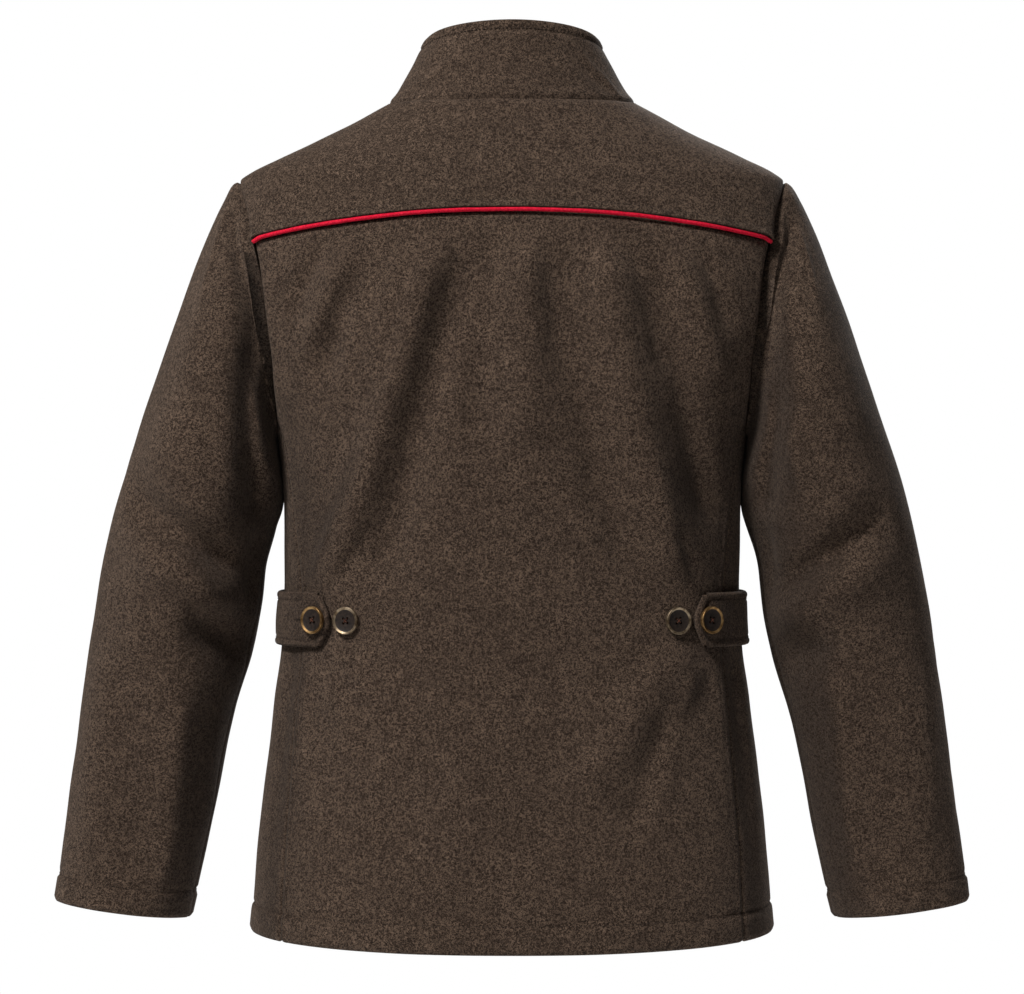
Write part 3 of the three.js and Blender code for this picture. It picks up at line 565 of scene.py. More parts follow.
def yoke_points(u, v):
    share = np.abs(u)
    start = top_edge(share, True)
    angle = v * (PIPING_ANGLE - PIPING_HALF_ANGLE)
    edge = armhole_points(angle)
    end = armhole_z(PIPING_ANGLE - PIPING_HALF_ANGLE)
    t = (edge[..., 2] - SHOULDER_Z) / (end - SHOULDER_Z)
    out = start[..., 0] / SHOULDER_X
    x = out * edge[..., 0]
    low = piping_z(out * armhole_points(PIPING_ANGLE)[0]) + PIPING_ROOM * (1 - smooth(out, 0.98, 1.0))
    z = start[..., 2] + (low - start[..., 2]) * t
    return np.stack([np.sign(u) * x, torso_y(x, z, True), z], axis=-1)


across, down = lines(500) * 2 - 1, lines(112)
base = yoke_points(*np.meshgrid(across, down))
top, bottom, left, right = edge_distances(base)
side = np.minimum(left, right)
YOKE_STITCH = 6.5
lift = -0.9 * bump(top, 2.2) - 1.1 * bump(side, 2.4) + 0.5 * bump(bottom, 3.0)
lift += 0.9 * smooth(YOKE_STITCH + 2.0 - bottom, 0, 3) - 1.2 * bump(bottom - YOKE_STITCH, 1.3)
lift += 0.5 * bump(top - 7, 4) + 0.8 * smooth(26 - bottom, 0, 22)
yoke_surface = onto_torso(base, lift)
yoke = cloth(
    "yoke",
    [(*yoke_surface, WALL, [("t", 0, ""), ("b", 0, ""), ("l", 0, ""), ("r", 0, "")])],
    LODEN,
)
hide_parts("back_yoke")


# ---- The back ----
# One wide piece of loden from the piped seam to the hem, between the side-back seams. Its folds fall
# from the yoke towards the waist tabs. The hem is turned up inside and sewn two fingers above the edge.
HEM_SIDE_Z, HEM_BACK_DROP, HEM_BACK_Y = -697, 6, 124
SEAM_ANGLE = 150
HEM_DEPTH = 22
SIDE_SEAM = table(
    "z behind",
    (-267, 34),
    (-282, 36),
    (-340, 43),
    (-404, 50),
    (-462, 54),
    (-505, 57),
    (-579, 63),
    (-656, 69),
    (-705, 73),
)


def hem_z(y):
    return HEM_SIDE_Z - HEM_BACK_DROP * (np.maximum(0, y) / HEM_BACK_Y) ** 2


def edge_y(z):
    """How far behind the side plane the back's edge runs: the armhole, then the side-back seam."""
    inside = np.clip((z - ARMHOLE_Z) / ARMHOLE_HALF_HEIGHT, -1, 1)
    armhole = ARMHOLE_HALF_DEPTH * np.sqrt(1 - inside**2)
    return np.where(z > armhole_z(SEAM_ANGLE), armhole, read(SIDE_SEAM, "z", "behind", z))


def back_points(u, v):
    top_z = armhole_z(PIPING_ANGLE + PIPING_HALF_ANGLE)
    low_z = hem_z(read(SIDE_SEAM, "z", "behind", HEM_SIDE_Z))
    z_edge = top_z + (low_z - top_z) * v
    x = u * torso_x(edge_y(z_edge), z_edge)
    start = piping_z(u * torso_x(edge_y(top_z), top_z)) - PIPING_ROOM * (1 - smooth(np.abs(u), 0.98, 1.0))
    low = hem_z(torso_y(u * torso_x(edge_y(low_z), low_z), low_z, True))
    z = start + (low - start) * v
    on_edge = smooth(np.abs(u), 0.985, 1.0)
    z = z + (z_edge - z) * on_edge
    return np.stack([x, torso_y(x, z, True), z], axis=-1)


def hem_wall(distance, wall=WALL):
    """The wall with its turn-up, doubled over the hem's depth."""
    return wall + (wall - 0.2) * smooth(HEM_DEPTH + 1.5 - distance, 0, 3)


def hem_lift(distance, along, side_phase):
    """A hem's face: full at the fold, with the stitch line drawn in and slightly uneven."""
    pull = 1 + 0.25 * np.sin(along / 7.3 + side_phase) * np.sin(along / 19 + 1.7 * side_phase)
    puff = 1.1 * smooth(HEM_DEPTH - distance, 0, 5) * smooth(distance, 0, 2.5)
    return puff - 1.5 * pull * bump(distance - HEM_DEPTH, 1.6)


def drawn_in(height):
    """How much the side is drawn in under the back at a height below the tabs, 0 to 1."""
    return smooth(-height, 455, 480) * smooth(height, -680, -480)


SIDE_STITCH = 5
across, down = lines(430) * 2 - 1, lines(590)
base = back_points(*np.meshgrid(across, down))
top, bottom, left, right = edge_distances(base)
side = np.minimum(left, right)
height = base[..., 2]
under_arm = smooth(-height, 262, 275)
lift = -0.9 * bump(top, 3.5) - 2.2 * smooth(46 - top, 0, 44) - 1.0 * bump(side, 2.2)
lift += under_arm * (0.7 * smooth(SIDE_STITCH + 1.5 - side, 0, 2) - 0.6 * bump(side - SIDE_STITCH, 1.2))
lift += hem_lift(bottom, left, 0.4)
# Under each tab the cloth is drawn together, so the back stands over the side below it.
lift += 1.5 * drawn_in(height) * bump(side - 9, 8)
back_surface = onto_torso(base, lift)
back = cloth(
    "back",
    [(*back_surface, hem_wall(bottom), [("t", 0, ""), ("b", 1, "az"), ("l", 0, ""), ("r", 0, "")])],
    LODEN,
)
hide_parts("back_panel")


# ---- The fronts ----
# Each front is one piece with the side, from the shoulder seam to the hem and round to the side-back
# seam. The left one laps over the right one at the centre, where both edges are folded and stitched.
OVERLAP_X = 20
UNDERLAP = WALL + 0.5
FRONT_STITCH = 6.5
UPPER_START = 210  # the front meets the underarm here, as an angle round the armhole
UNDERARM_COLUMNS = 30
LAP_SHARE = 0.06  # share of the top edge that lies past the centre
LAP_REACH, LAP_LENGTH = 30, 26  # how far past the overlap the under front steps in, and over what length
TURN_IN, TURN_IN_WALL = 14, 1.2  # the folded front edge


def section_angles(points):
    x, y, z = np.moveaxis(points, -1, 0)
    half, depth, power = section(z, y >= 0)
    sine = np.sign(x) * (np.abs(x) / half) ** (power / 2)
    cosine = np.sign(y) * (np.abs(y) / depth) ** (power / 2)
    turn = np.degrees(np.arctan2(sine, cosine))
    return np.where(turn < -90, turn + 360, turn)


def section_points(degrees, z):
    turn = np.radians(degrees)
    sine, cosine = np.sin(turn), np.cos(turn)
    half, depth, power = section(z, cosine >= 0)
    x = half * np.sign(sine) * np.abs(sine) ** (2 / power)
    y = depth * np.sign(cosine) * np.abs(cosine) ** (2 / power)
    return np.stack([x, y, z + 0 * x], axis=-1)


def front_top(share):
    """The top edge from the front edge out: past the centre, along the neckline and the shoulder."""
    inside = np.clip((share - LAP_SHARE) / (1 - LAP_SHARE), 0, 1)
    edge = top_edge(inside, False)
    x = np.where(share < LAP_SHARE, -OVERLAP_X * (1 - share / LAP_SHARE), edge[..., 0])
    z = edge[..., 2]
    y = np.where(inside > NECK_SHARE, 0, torso_y(x, z, False))
    return np.stack([x, y, z], axis=-1)


def front_grids():
    shares, rises = lines(330), lines(230)
    columns, rows = np.meshgrid(shares, rises)
    edge = armhole_points(UPPER_START + (360 - UPPER_START) * rows)
    chest = armhole_z(UPPER_START)
    t = (edge[..., 2] - chest) / (SHOULDER_Z - chest)
    start = front_top(columns)
    share = (start[..., 0] + OVERLAP_X) / (SHOULDER_X + OVERLAP_X)
    x = -OVERLAP_X + (edge[..., 0] + OVERLAP_X) * share
    z = chest + (start[..., 2] - chest) * t
    upper = np.stack([x, torso_y(x, z, False), z], axis=-1)
    underarm = armhole_points(np.linspace(SEAM_ANGLE + 0.3, UPPER_START, UNDERARM_COLUMNS))
    waistline = np.concatenate([underarm[:-1], upper[0][::-1]])
    fall = lines(440)
    begin = waistline[None, :, 2]

    def seam_and_edge(z):
        seam_y = read(SIDE_SEAM, "z", "behind", z)
        seam = section_angles(np.stack([torso_x(seam_y, z), seam_y, z], axis=-1))
        return seam, section_angles(np.stack([0 * z - OVERLAP_X, torso_y(OVERLAP_X, z, False), z], axis=-1))

    seam, edge = seam_and_edge(begin)
    place = (section_angles(waistline)[None] - seam) / (edge - seam)
    low = HEM_SIDE_Z + 0 * begin
    seam, edge = seam_and_edge(low)
    low = hem_z(section_points(seam + place * (edge - seam), low)[..., 1])
    z = begin + (low - begin) * fall[:, None]
    seam, edge = seam_and_edge(z)
    lower = section_points(seam + place * (edge - seam), z)
    lower[0] = waistline
    return upper, lower


def front(name, node, side, inside, phase):
    upper, lower = front_grids()
    surfaces = []
    for part, base in (("upper", upper), ("lower", lower)):
        lap = inside * smooth(OVERLAP_X + LAP_REACH - base[..., 0], 0, LAP_LENGTH) * (base[..., 1] < 0)
        top, bottom, left, right = edge_distances(base)
        front_edge = left if part == "upper" else right
        armhole = right if part == "upper" else top + 1e3 * (np.arange(base.shape[1]) >= UNDERARM_COLUMNS)
        lift = -1.0 * bump(armhole, 2.4)
        lift += 0.7 * smooth(front_edge, 0, 2.5) * smooth(FRONT_STITCH + 1.5 - front_edge, 0, 2)
        lift -= 0.7 * bump(front_edge - FRONT_STITCH, 1.3)
        wall = WALL + 0 * lift
        if part == "upper":
            lift -= 0.8 * bump(bottom, 2.2)
            wall += TURN_IN_WALL * smooth(TURN_IN - front_edge, 0, 3)
        else:
            lift -= 0.9 * bump(left, 2.2) + 3.2 * drawn_in(base[..., 2]) * bump(left - 15, 11)
            lift += hem_lift(bottom, left, phase)
            turned_in = TURN_IN_WALL * smooth(TURN_IN - front_edge, 0, 3)
            wall = hem_wall(bottom) + turned_in * smooth(bottom, 20, 26)
        base = base * np.array([side, 1, 1])
        surfaces.append((*onto_torso(base, lift - lap), wall))
    # The chest's lowest row is the skirt's first; only the stretch under the arm is an edge.
    (up, up_n, up_wall), (low, low_n, low_wall) = surfaces
    chest = slice(UNDERARM_COLUMNS - 1, None)
    low[0, chest], low_n[0, chest], low_wall[0, chest] = up[0][::-1], up_n[0][::-1], up_wall[0][::-1]
    armpit = (slice(2), slice(UNDERARM_COLUMNS))
    patches = [
        (up, up_n, up_wall, [("b", 0, ""), ("l", 1, "z"), ("r", 0, "")]),
        (low, low_n, low_wall, [("l", 0, ""), ("r", 1, "z"), ("b", 1, "az")]),
        (low[armpit], low_n[armpit], low_wall[armpit], [("t", 0, "")]),
    ]
    piece = cloth(name, patches, LODEN)
    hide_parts(node)
    return surfaces


left_front = front("left_front", "front_left", 1, 0, 0.9)
right_front = front("right_front", "front_right", -1, UNDERLAP, 2.3)


# ---- The collar ----
# A stand of two layers of loden, sewn to the neckline all round and open at the centre front, where it
# hooks shut. Its top edge is turned and stitched, and it leans in towards the neck.
COLLAR_WALL = 3.6
COLLAR_STITCH = 6
COLLAR_GAP = 4  # between its two ends at the centre front
COLLAR_ROUND = 1.55  # mm of neckline for each degree
COLLAR_HEIGHT = 64
COLLAR_HEIGHTS = {"back": 67, "front": 58, "side": 60}
COLLAR_LEANS = {"back": 14, "front": 18, "side": 30}
COLLAR_BOW = 0.85  # below 1 its lean comes early


def drawn_lines(across, along, rows, fade):
    """Soft troughs and ridges along straight lines of a grid, both of whose directions are in mm."""
    rise = 0 * across
    for a0, b0, a1, b1, width, height in zip(*rows.values()):
        length = math.hypot(a1 - a0, b1 - b0)
        way_a, way_b = (a1 - a0) / length, (b1 - b0) / length
        place = (across - a0) * way_a + (along - b0) * way_b
        off = (across - a0) * way_b - (along - b0) * way_a
        rise += height * smooth(place, -fade, fade) * smooth(length - place, -fade, fade) * bump(off, width)
    return rise


def grid_normals(points, outwards):
    across = np.gradient(points, axis=1)
    down = np.gradient(points, axis=0)
    normals = np.cross(across, down)
    normals /= np.maximum(np.linalg.norm(normals, axis=-1, keepdims=True), 1e-12)
    return normals * np.where(np.sum(normals * outwards, axis=-1, keepdims=True) < 0, -1, 1)


def collar_points(degrees, up):
    turn = np.radians(np.abs(degrees))
    points = neck_points(np.abs(degrees))
    sideways = np.sin(turn) ** 2
    behind = np.cos(turn) > 0
    lean, height = (
        np.where(behind, size["back"], size["front"]) * (1 - sideways) + size["side"] * sideways
        for size in (COLLAR_LEANS, COLLAR_HEIGHTS)
    )
    out = np.stack([np.sin(turn), np.cos(turn), 0 * turn], axis=-1)
    points = points - out * (lean * up**COLLAR_BOW)[..., None]
    points[..., 2] += np.sqrt(height**2 - lean**2) * up + 2 * SEAM_HALF_GAP
    points[..., 0] *= np.where(degrees < 0, -1, 1)
    return points


COLLAR_CREASES = table(
    "turn0 up0 turn1 up1 width rise",
    (78, 16, 52, 33, 3.5, 1.5),
    (88, 8, 66, 14, 6, -1.6),
    (70, 32, 50, 48, 7, -1.0),
    (-60, 44, -76, 24, 3.5, 1.5),
    (-80, 26, -96, 6, 4, 1.4),
    (-58, 28, -84, 8, 6, -1.6),
    (-20, 10, 30, 13, 7, 0.8),
    (-30, 30, 36, 34, 10, -0.6),
    (150, 14, 190, 38, 9, 1.0),
    (-205, 30, -160, 12, 9, 1.0),
)
end_turn = 180 - math.degrees(math.asin(COLLAR_GAP / 2 / NECK_HALF))
turns, rises = (lines(2 * end_turn * COLLAR_ROUND, 2.6) * 2 - 1) * end_turn, lines(COLLAR_HEIGHT, 2.6)
turn_grid, rise_grid = np.meshgrid(turns, rises)
base = collar_points(turn_grid, rise_grid)
low, high, start, finish = edge_distances(base)
end = np.minimum(start, finish)
lift = drawn_lines(turn_grid * COLLAR_ROUND, rise_grid * COLLAR_HEIGHT, COLLAR_CREASES, 9)
lift += 0.8 * smooth(COLLAR_STITCH + 1.2 - high, 0, 2) - 1.5 * bump(high - COLLAR_STITCH, 1.3)
lift += 0.6 * smooth(COLLAR_STITCH + 1.2 - end, 0, 2) - 0.8 * bump(end - COLLAR_STITCH, 1.2)
lift += -1.2 * bump(low, 2.0) + 0.7 * bump(low - 5, 4)
lift += 0.35 * np.sin(turn_grid / 11 + 2 * np.sin(rise_grid * 4)) * np.sin(rise_grid * 5 + turn_grid / 31)
outwards = np.stack([np.sin(np.radians(turn_grid)), np.cos(np.radians(turn_grid)), 0 * turn_grid], axis=-1)
collar_normals = grid_normals(base, outwards)
collar_surface = (base + collar_normals * lift[..., None], collar_normals)
collar = cloth(
    "collar_stand",
    [(*collar_surface, COLLAR_WALL, [("t", 0, ""), ("b", 1, ""), ("l", 1, "z"), ("r", 1, "z")])],
    LODEN,
)
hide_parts("collar")


# ---- The sleeves ----
# Each is a wide top piece and a narrow under piece, sewn along two seams that face the body, and set
# into the armhole with a little fullness at its head. The cuff's hem is turned up and sewn inside.
SLEEVE = table(
    "ring outer_x outer_z inner_x inner_z depth y",
    (0, 231, -66, 199, -282, 68, 0),
    (1, 241, -77, 198, -289, 71, 0),
    (2, 256, -106, 196, -299, 75, 0),
    (3, 272, -147, 193, -311, 79, 0),
    (4, 290, -197, 191, -326, 81, 1),
    (5, 307, -247, 194, -343, 80, 1),
    (6, 325, -302, 201, -362, 77, 0),
    (7, 340, -355, 209, -391, 73, -1),
    (8, 350, -403, 213, -425, 68, -3),
    (9, 358, -450, 221, -466, 62, -6),
    (10, 365, -496, 236, -513, 58, -9),
    (11, 371.5, -541, 246, -558, 54, -12),
    (12, 378.5, -588, 255, -605, 50, -16),
    (13, 385, -632, 265, -649, 46, -19),
    (14, 391.5, -676, 275, -691, 44, -22),
)
LAST_RING = 14
RING_LENGTH = 48  # mm of sleeve for each ring
SLEEVE_ROUND = 1.3  # mm round the sleeve for each degree
SEAM_BEHIND, SEAM_BEFORE = 170, 229
SETTLE_RINGS = 3  # rings over which the sleeve passes from the armhole's curve to flat rings
SEAM_RING = 0.01
HANG_LOWEST, HANG_CLEAR, HANG_ROUND = -400, 1.2, 4  # where it lies along the body, how far off, how soft
SET_IN_DEPTH, SET_IN_FRONT = 13, 0.35  # how deeply it turns in to its seam behind, and the front's share
# Each crease's start and end, in degrees round the sleeve and rings down it, its half width and its rise.
LEFT_CREASES = table(
    "turn0 down0 turn1 down1 width rise",
    (100, 1.6, 118, 4.0, 17, -8),
    (122, 4.0, 144, 5.8, 19, -11),
    (150, 6.0, 156, 8.0, 12, -5),
    (40, 6.4, 134, 7.1, 16, -12),
    (50, 5.7, 116, 6.1, 24, 4.2),
    (58, 7.35, 128, 8.0, 18, 8),
    (110, 8.5, 160, 8.9, 20, -12),
    (30, 1.4, 47, 2.8, 5, 2.4),
    (72, 9.4, 96, 13.4, 26, -3.6),
    (112, 9.8, 124, 13.0, 16, 3.3),
    (58, 2.4, 62, 5.6, 26, 4.5),
    (40, 9.6, 52, 12.6, 18, 2.4),
    (210, 7.2, 300, 7.5, 16, -7.5),
    (215, 7.95, 300, 8.2, 16, 5.4),
    (225, 8.7, 290, 8.9, 14, -4.5),
    (238, 1.9, 228, 4.4, 18, -7.5),
    (300, 2.0, 290, 5.5, 24, 3.8),
    (262, 9.6, 250, 13.0, 24, -3.3),
)
RIGHT_CREASES = table(
    "turn0 down0 turn1 down1 width rise",
    (102, 1.6, 116, 3.8, 17, -8),
    (124, 3.8, 142, 5.6, 18, -11),
    (150, 6.0, 158, 7.8, 12, -5),
    (108, 4.2, 104, 5.5, 10, 4.8),
    (60, 6.7, 140, 7.5, 17, -10.5),
    (54, 6.0, 112, 6.2, 28, 2.6),
    (66, 7.55, 146, 8.35, 19, 6),
    (116, 8.9, 160, 9.1, 20, -10.5),
    (34, 1.1, 52, 2.6, 5, 2.4),
    (84, 9.2, 98, 13.0, 24, -3.9),
    (116, 9.6, 126, 12.6, 15, 3),
    (62, 2.6, 60, 5.4, 26, 4.2),
    (46, 9.8, 56, 12.4, 18, 2.4),
    (214, 7.1, 296, 7.6, 16, -7.5),
    (212, 7.9, 300, 8.1, 15, 5.4),
    (228, 8.8, 286, 8.8, 14, -4.5),
    (240, 2.0, 226, 4.6, 18, -7.5),
    (304, 2.2, 286, 5.6, 24, 3.8),
    (258, 9.4, 254, 12.8, 24, -3),
)


def sleeve_points(ring, degrees, rise):
    turn = np.radians(degrees)
    along = np.cos(turn)
    columns = ("outer_x", "outer_z", "inner_x", "inner_z", "depth", "y")
    outer_x, outer_z, inner_x, inner_z, depth, middle_y = (read(SLEEVE, "ring", name, ring) for name in columns)
    half_x, half_z = (outer_x - inner_x) / 2, (outer_z - inner_z) / 2
    grow = 1 + rise / np.hypot(half_x, half_z)
    x = (outer_x + inner_x) / 2 + half_x * along * grow
    z = (outer_z + inner_z) / 2 + half_z * along * grow
    y = middle_y + (depth + rise) * np.sin(turn)
    seam = armhole_points(degrees)
    flat_x = SLEEVE["inner_x"][0] + (SLEEVE["outer_x"][0] - SLEEVE["inner_x"][0]) * (along + 1) / 2
    start = x + (seam[..., 0] - flat_x) * (1 - smooth(ring, 0, SETTLE_RINGS))
    # Where it hangs against the body it lies along it, just clear.
    body = np.where(z > HANG_LOWEST, torso_x(y, z) + HANG_CLEAR, 0)
    gap = start - body
    clear = np.where(ring < SEAM_RING, 0, np.sqrt(gap * gap + HANG_ROUND) - np.abs(gap))
    return np.stack([np.where(ring < SEAM_RING, start, np.maximum(start, body)) + clear / 2, y, z], axis=-1)


def sleeve_surface(first, last, creases, phase):
    degrees = first + (last - first) * lines((last - first) * SLEEVE_ROUND)
    turn_grid, ring_grid = np.meshgrid(degrees, LAST_RING * lines(LAST_RING * RING_LENGTH))
    base = sleeve_points(ring_grid, turn_grid, 0)
    top, bottom, left, right = edge_distances(base)
    turn = turn_grid % 360
    rise = sum(
        drawn_lines((turn - whole) * SLEEVE_ROUND, ring_grid * RING_LENGTH, creases_in_mm(creases), 26)
        for whole in (0, 360)
    )
    head = np.maximum(0, np.cos(np.radians(turn)))
    rise += -1.6 * bump(top, 2.6) + (0.9 + 1.7 * head) * bump(top - 9, 7)
    # Behind and before the arm the sleeve turns in deeply to its seam.
    set_in = smooth(np.abs(np.sin(np.radians(turn))), 0.35, 0.8) * np.where(turn < 180, 1, SET_IN_FRONT)
    rise -= SET_IN_DEPTH * set_in * bump(top - 13, 16)
    rise += 0.35 * np.sin(np.radians(turn) * 34 + 1) * bump(top - 7, 5)
    rise -= 0.9 * (bump(left, 2.2) + bump(right, 2.2))
    sway = turn / 17 + 1.4 * np.sin(ring_grid + phase)
    rise += 0.5 * np.sin(sway) * np.sin(ring_grid * 1.7 + turn / 40 + phase)
    rise += 0.25 * np.sin(turn / 6.3 + ring_grid * 1.1) * np.sin(ring_grid * 3.9 - turn / 23 + phase)
    rise += hem_lift(bottom, turn_grid * SLEEVE_ROUND, phase)
    points = sleeve_points(ring_grid, turn_grid, rise)
    middle = (sleeve_points(ring_grid, 0 * turn, 0) + sleeve_points(ring_grid, 0 * turn + 180, 0)) / 2
    normals = grid_normals(points, base - middle)
    shared = head * (1 - smooth(ring_grid, 0, 0.6))
    normals = normals + (torso_normals(base) - normals) * shared[..., None]
    normals /= np.linalg.norm(normals, axis=-1, keepdims=True)
    return points, normals, bottom


def creases_in_mm(creases):
    scale = {"turn": SLEEVE_ROUND, "down": RING_LENGTH}
    return {name: column * scale.get(name[:-1], 1) for name, column in creases.items()}


RIMS = [("t", 0, ""), ("b", 1, "az"), ("l", 0, ""), ("r", 0, "")]
mirror = np.array([-1, 1, 1])
cuffs = {}
for side, creases, phase in (("left", LEFT_CREASES, 0.6), ("right", RIGHT_CREASES, 2.7)):
    for part, first, last, flat, area in (
        ("top", SEAM_BEFORE, SEAM_BEHIND + 360, (0.40, 0.68), 0.18),
        ("under", SEAM_BEHIND, SEAM_BEFORE, (0.10, 0.46), 0.034),
    ):
        points, normals, bottom = sleeve_surface(first, last, creases, phase)
        if side == "right":
            points, normals = points * mirror, normals * mirror
        piece = cloth(f"sleeve_{part}_{side}", [(points, normals, hem_wall(bottom), RIMS)], LODEN)
        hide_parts(f"{part}_sleeve_{side}")
        cuffs[side, part] = (points, normals, bottom)


# ---- The waist tabs ----
# A band of two layers over a firm core, sewn into the side under each sleeve and brought back round to
# the side-back, where it ends in a blunt point. It is turned, pressed and stitched near its edge.
TAB_Z, TAB_HALF_HEIGHT = -435, 22.7
TAB_NOSE, TAB_CORNER, TAB_NOSE_HALF, TAB_ROOT_Y = 148.6, 156.5, 5, -25
TAB_WALL, TAB_CLEAR = 4.2, 1.4
TAB_EDGE = 1.6  # the rolled edge takes this much
TAB_STITCH = 6.5
TAB_LENGTH = 150


def tab_surface(side):
    share, rise = np.meshgrid(lines(TAB_LENGTH, 2.2), lines(2 * TAB_HALF_HEIGHT, 1.9))
    level = (2 * rise - 1) * (TAB_HALF_HEIGHT - TAB_EDGE)
    z = TAB_Z + level
    chamfer = np.clip((np.abs(level) - TAB_NOSE_HALF) / (TAB_HALF_HEIGHT - TAB_NOSE_HALF), 0, 1)
    nose_x = TAB_NOSE + TAB_EDGE + (TAB_CORNER - TAB_NOSE) * chamfer
    nose = section_angles(np.stack([nose_x, torso_y(nose_x, z, True), z], axis=-1))
    root = section_angles(np.stack([torso_x(TAB_ROOT_Y, z), 0 * z + TAB_ROOT_Y, z], axis=-1))
    base = section_points(nose + (root - nose) * share, z)
    low, high, front_end, _ = edge_distances(base)
    edge = np.minimum(np.minimum(low, high), front_end * 0.87) + TAB_EDGE
    lift = TAB_CLEAR + TAB_WALL + 0.5 * smooth(TAB_STITCH + 1 - edge, 0, 2)
    lift -= 1.1 * bump(edge - TAB_STITCH, 1.3)
    lift += 0.8 * bump(level, 16) - 0.7 * smooth(2.6 - edge, 0, 2.6)
    lift += 0.3 * np.sin(base[..., 0] / 9 + side) * np.sin(level / 6 + base[..., 0] / 17)
    base = base * np.array([side, 1, 1])
    normals = torso_normals(base)
    flat_normals = normals * np.array([1, 1, 0.4])
    flat_normals /= np.linalg.norm(flat_normals, axis=-1, keepdims=True)
    return base + normals * lift[..., None], flat_normals, edge


tabs = {}
for side, sign in (("left", 1), ("right", -1)):
    points, normals, edge = tab_surface(sign)
    tabs[side] = (points, normals, edge)
    rims = [("t", 1, ""), ("b", 1, ""), ("l", 1, ""), ("r", 0, "")]
    # The tabs take the darker copy of the loden, which paints shade on them.
    tab = cloth(f"waist_tab_{side}", [(points, normals, TAB_WALL - 0.4, rims)], LODEN_SHADED)
    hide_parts(f"tab_{side}")


# ---- The piping ----
# A cotton cord in a crimson wool strip, let into the yoke seam so that half of it shows. Its ends turn
# down a little where they are caught in the armhole seam.
PIPING_RADIUS = 1.8
PIPING_SIDES = 14
PIPING_STEPS = 260
PIPING_INSET = 1.2  # each end stops this short of the armhole
PIPING_HOOK, PIPING_HOOK_LENGTH = 2.2, 9  # how far each end turns down, and over what length
piping_end = armhole_points(PIPING_ANGLE)[0] - PIPING_INSET
x = np.linspace(-piping_end, piping_end, PIPING_STEPS)
z = piping_z(x) - PIPING_HOOK * smooth(np.abs(x), piping_end - PIPING_HOOK_LENGTH, piping_end) ** 2
route = np.stack([x, torso_y(x, z, True), z], axis=-1)
route, route_normals = onto_torso(route, -0.3 + 0.12 * np.sin(x / 5.1) * np.sin(x / 13.7))
forwards = np.gradient(route, axis=0)
forwards /= np.linalg.norm(forwards, axis=1, keepdims=True)
sideways = np.cross(forwards, route_normals)
sideways /= np.linalg.norm(sideways, axis=1, keepdims=True)
turn = np.linspace(0, 2 * math.pi, PIPING_SIDES, endpoint=False)[None, :, None]
thick = PIPING_RADIUS * (1 + 0.03 * np.sin(x / 3.3 + 2 * np.sin(x / 17)))[:, None, None]
tube = route[:, None] + thick * (np.cos(turn) * route_normals[:, None] + np.sin(turn) * sideways[:, None])
ids = np.arange(PIPING_STEPS * PIPING_SIDES).reshape(PIPING_STEPS, PIPING_SIDES)
around = np.roll(ids, -1, axis=1)
walls = np.stack([ids[:-1], ids[1:], around[1:], around[:-1]], axis=-1).reshape(-1, 4)
piping_mesh = bpy.data.meshes.new("piping_cord")
piping_mesh.from_pydata(
    (tube.reshape(-1, 3) * MM).tolist(), [], [*walls.tolist(), ids[0].tolist(), ids[-1][::-1].tolist()]
)
shape = bmesh.new()
shape.from_mesh(piping_mesh)
bmesh.ops.recalc_face_normals(shape, faces=shape.faces)
shape.to_mesh(piping_mesh)
shape.free()
for polygon in piping_mesh.polygons:
    polygon.use_smooth = len(polygon.vertices) == 4
CRIMSON = wool("crimson", (0.46, 0.002, 0.018), (0.80, 0.004, 0.034), (0.88, 0.022, 0.06), 0.04, 0.00015)
piping_mesh.materials.append(CRIMSON)
piping = bpy.data.objects.new("piping_cord", piping_mesh)
bpy.context.collection.objects.link(piping)
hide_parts("yoke_piping")
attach(piping, "root")


# ---- The stitching ----
# Dark brown thread: a line above the piping, round the collar, the front edges, the tabs and the hems,
# and beside the side-back seams. Each stitch is a short raised bead sunk at both ends.
STITCH_PITCH, STITCH_LENGTH, STITCH_HALF = 3.3, 2.5, 0.34
BEAD = ((-1, 0.0), (-0.6, 0.8), (0, 1.0), (0.6, 0.8), (1, 0.0))  # place along a stitch, thickness
BEAD_SIDES = 6
THREAD = wool("thread", (0.012, 0.008, 0.006), (0.03, 0.02, 0.015), (0.08, 0.055, 0.042), 0.1, 0.0001)


def stitch_line(points, normals, distance, inset):
    """Where stitches run: one distance in from the first row of a grid, in each of its columns."""

    def at_inset(rows):
        columns = range(rows.shape[1])
        return np.array([[np.interp(inset, distance[:, c], rows[:, c, k]) for k in range(3)] for c in columns])

    return [at_inset(points), at_inset(normals)]


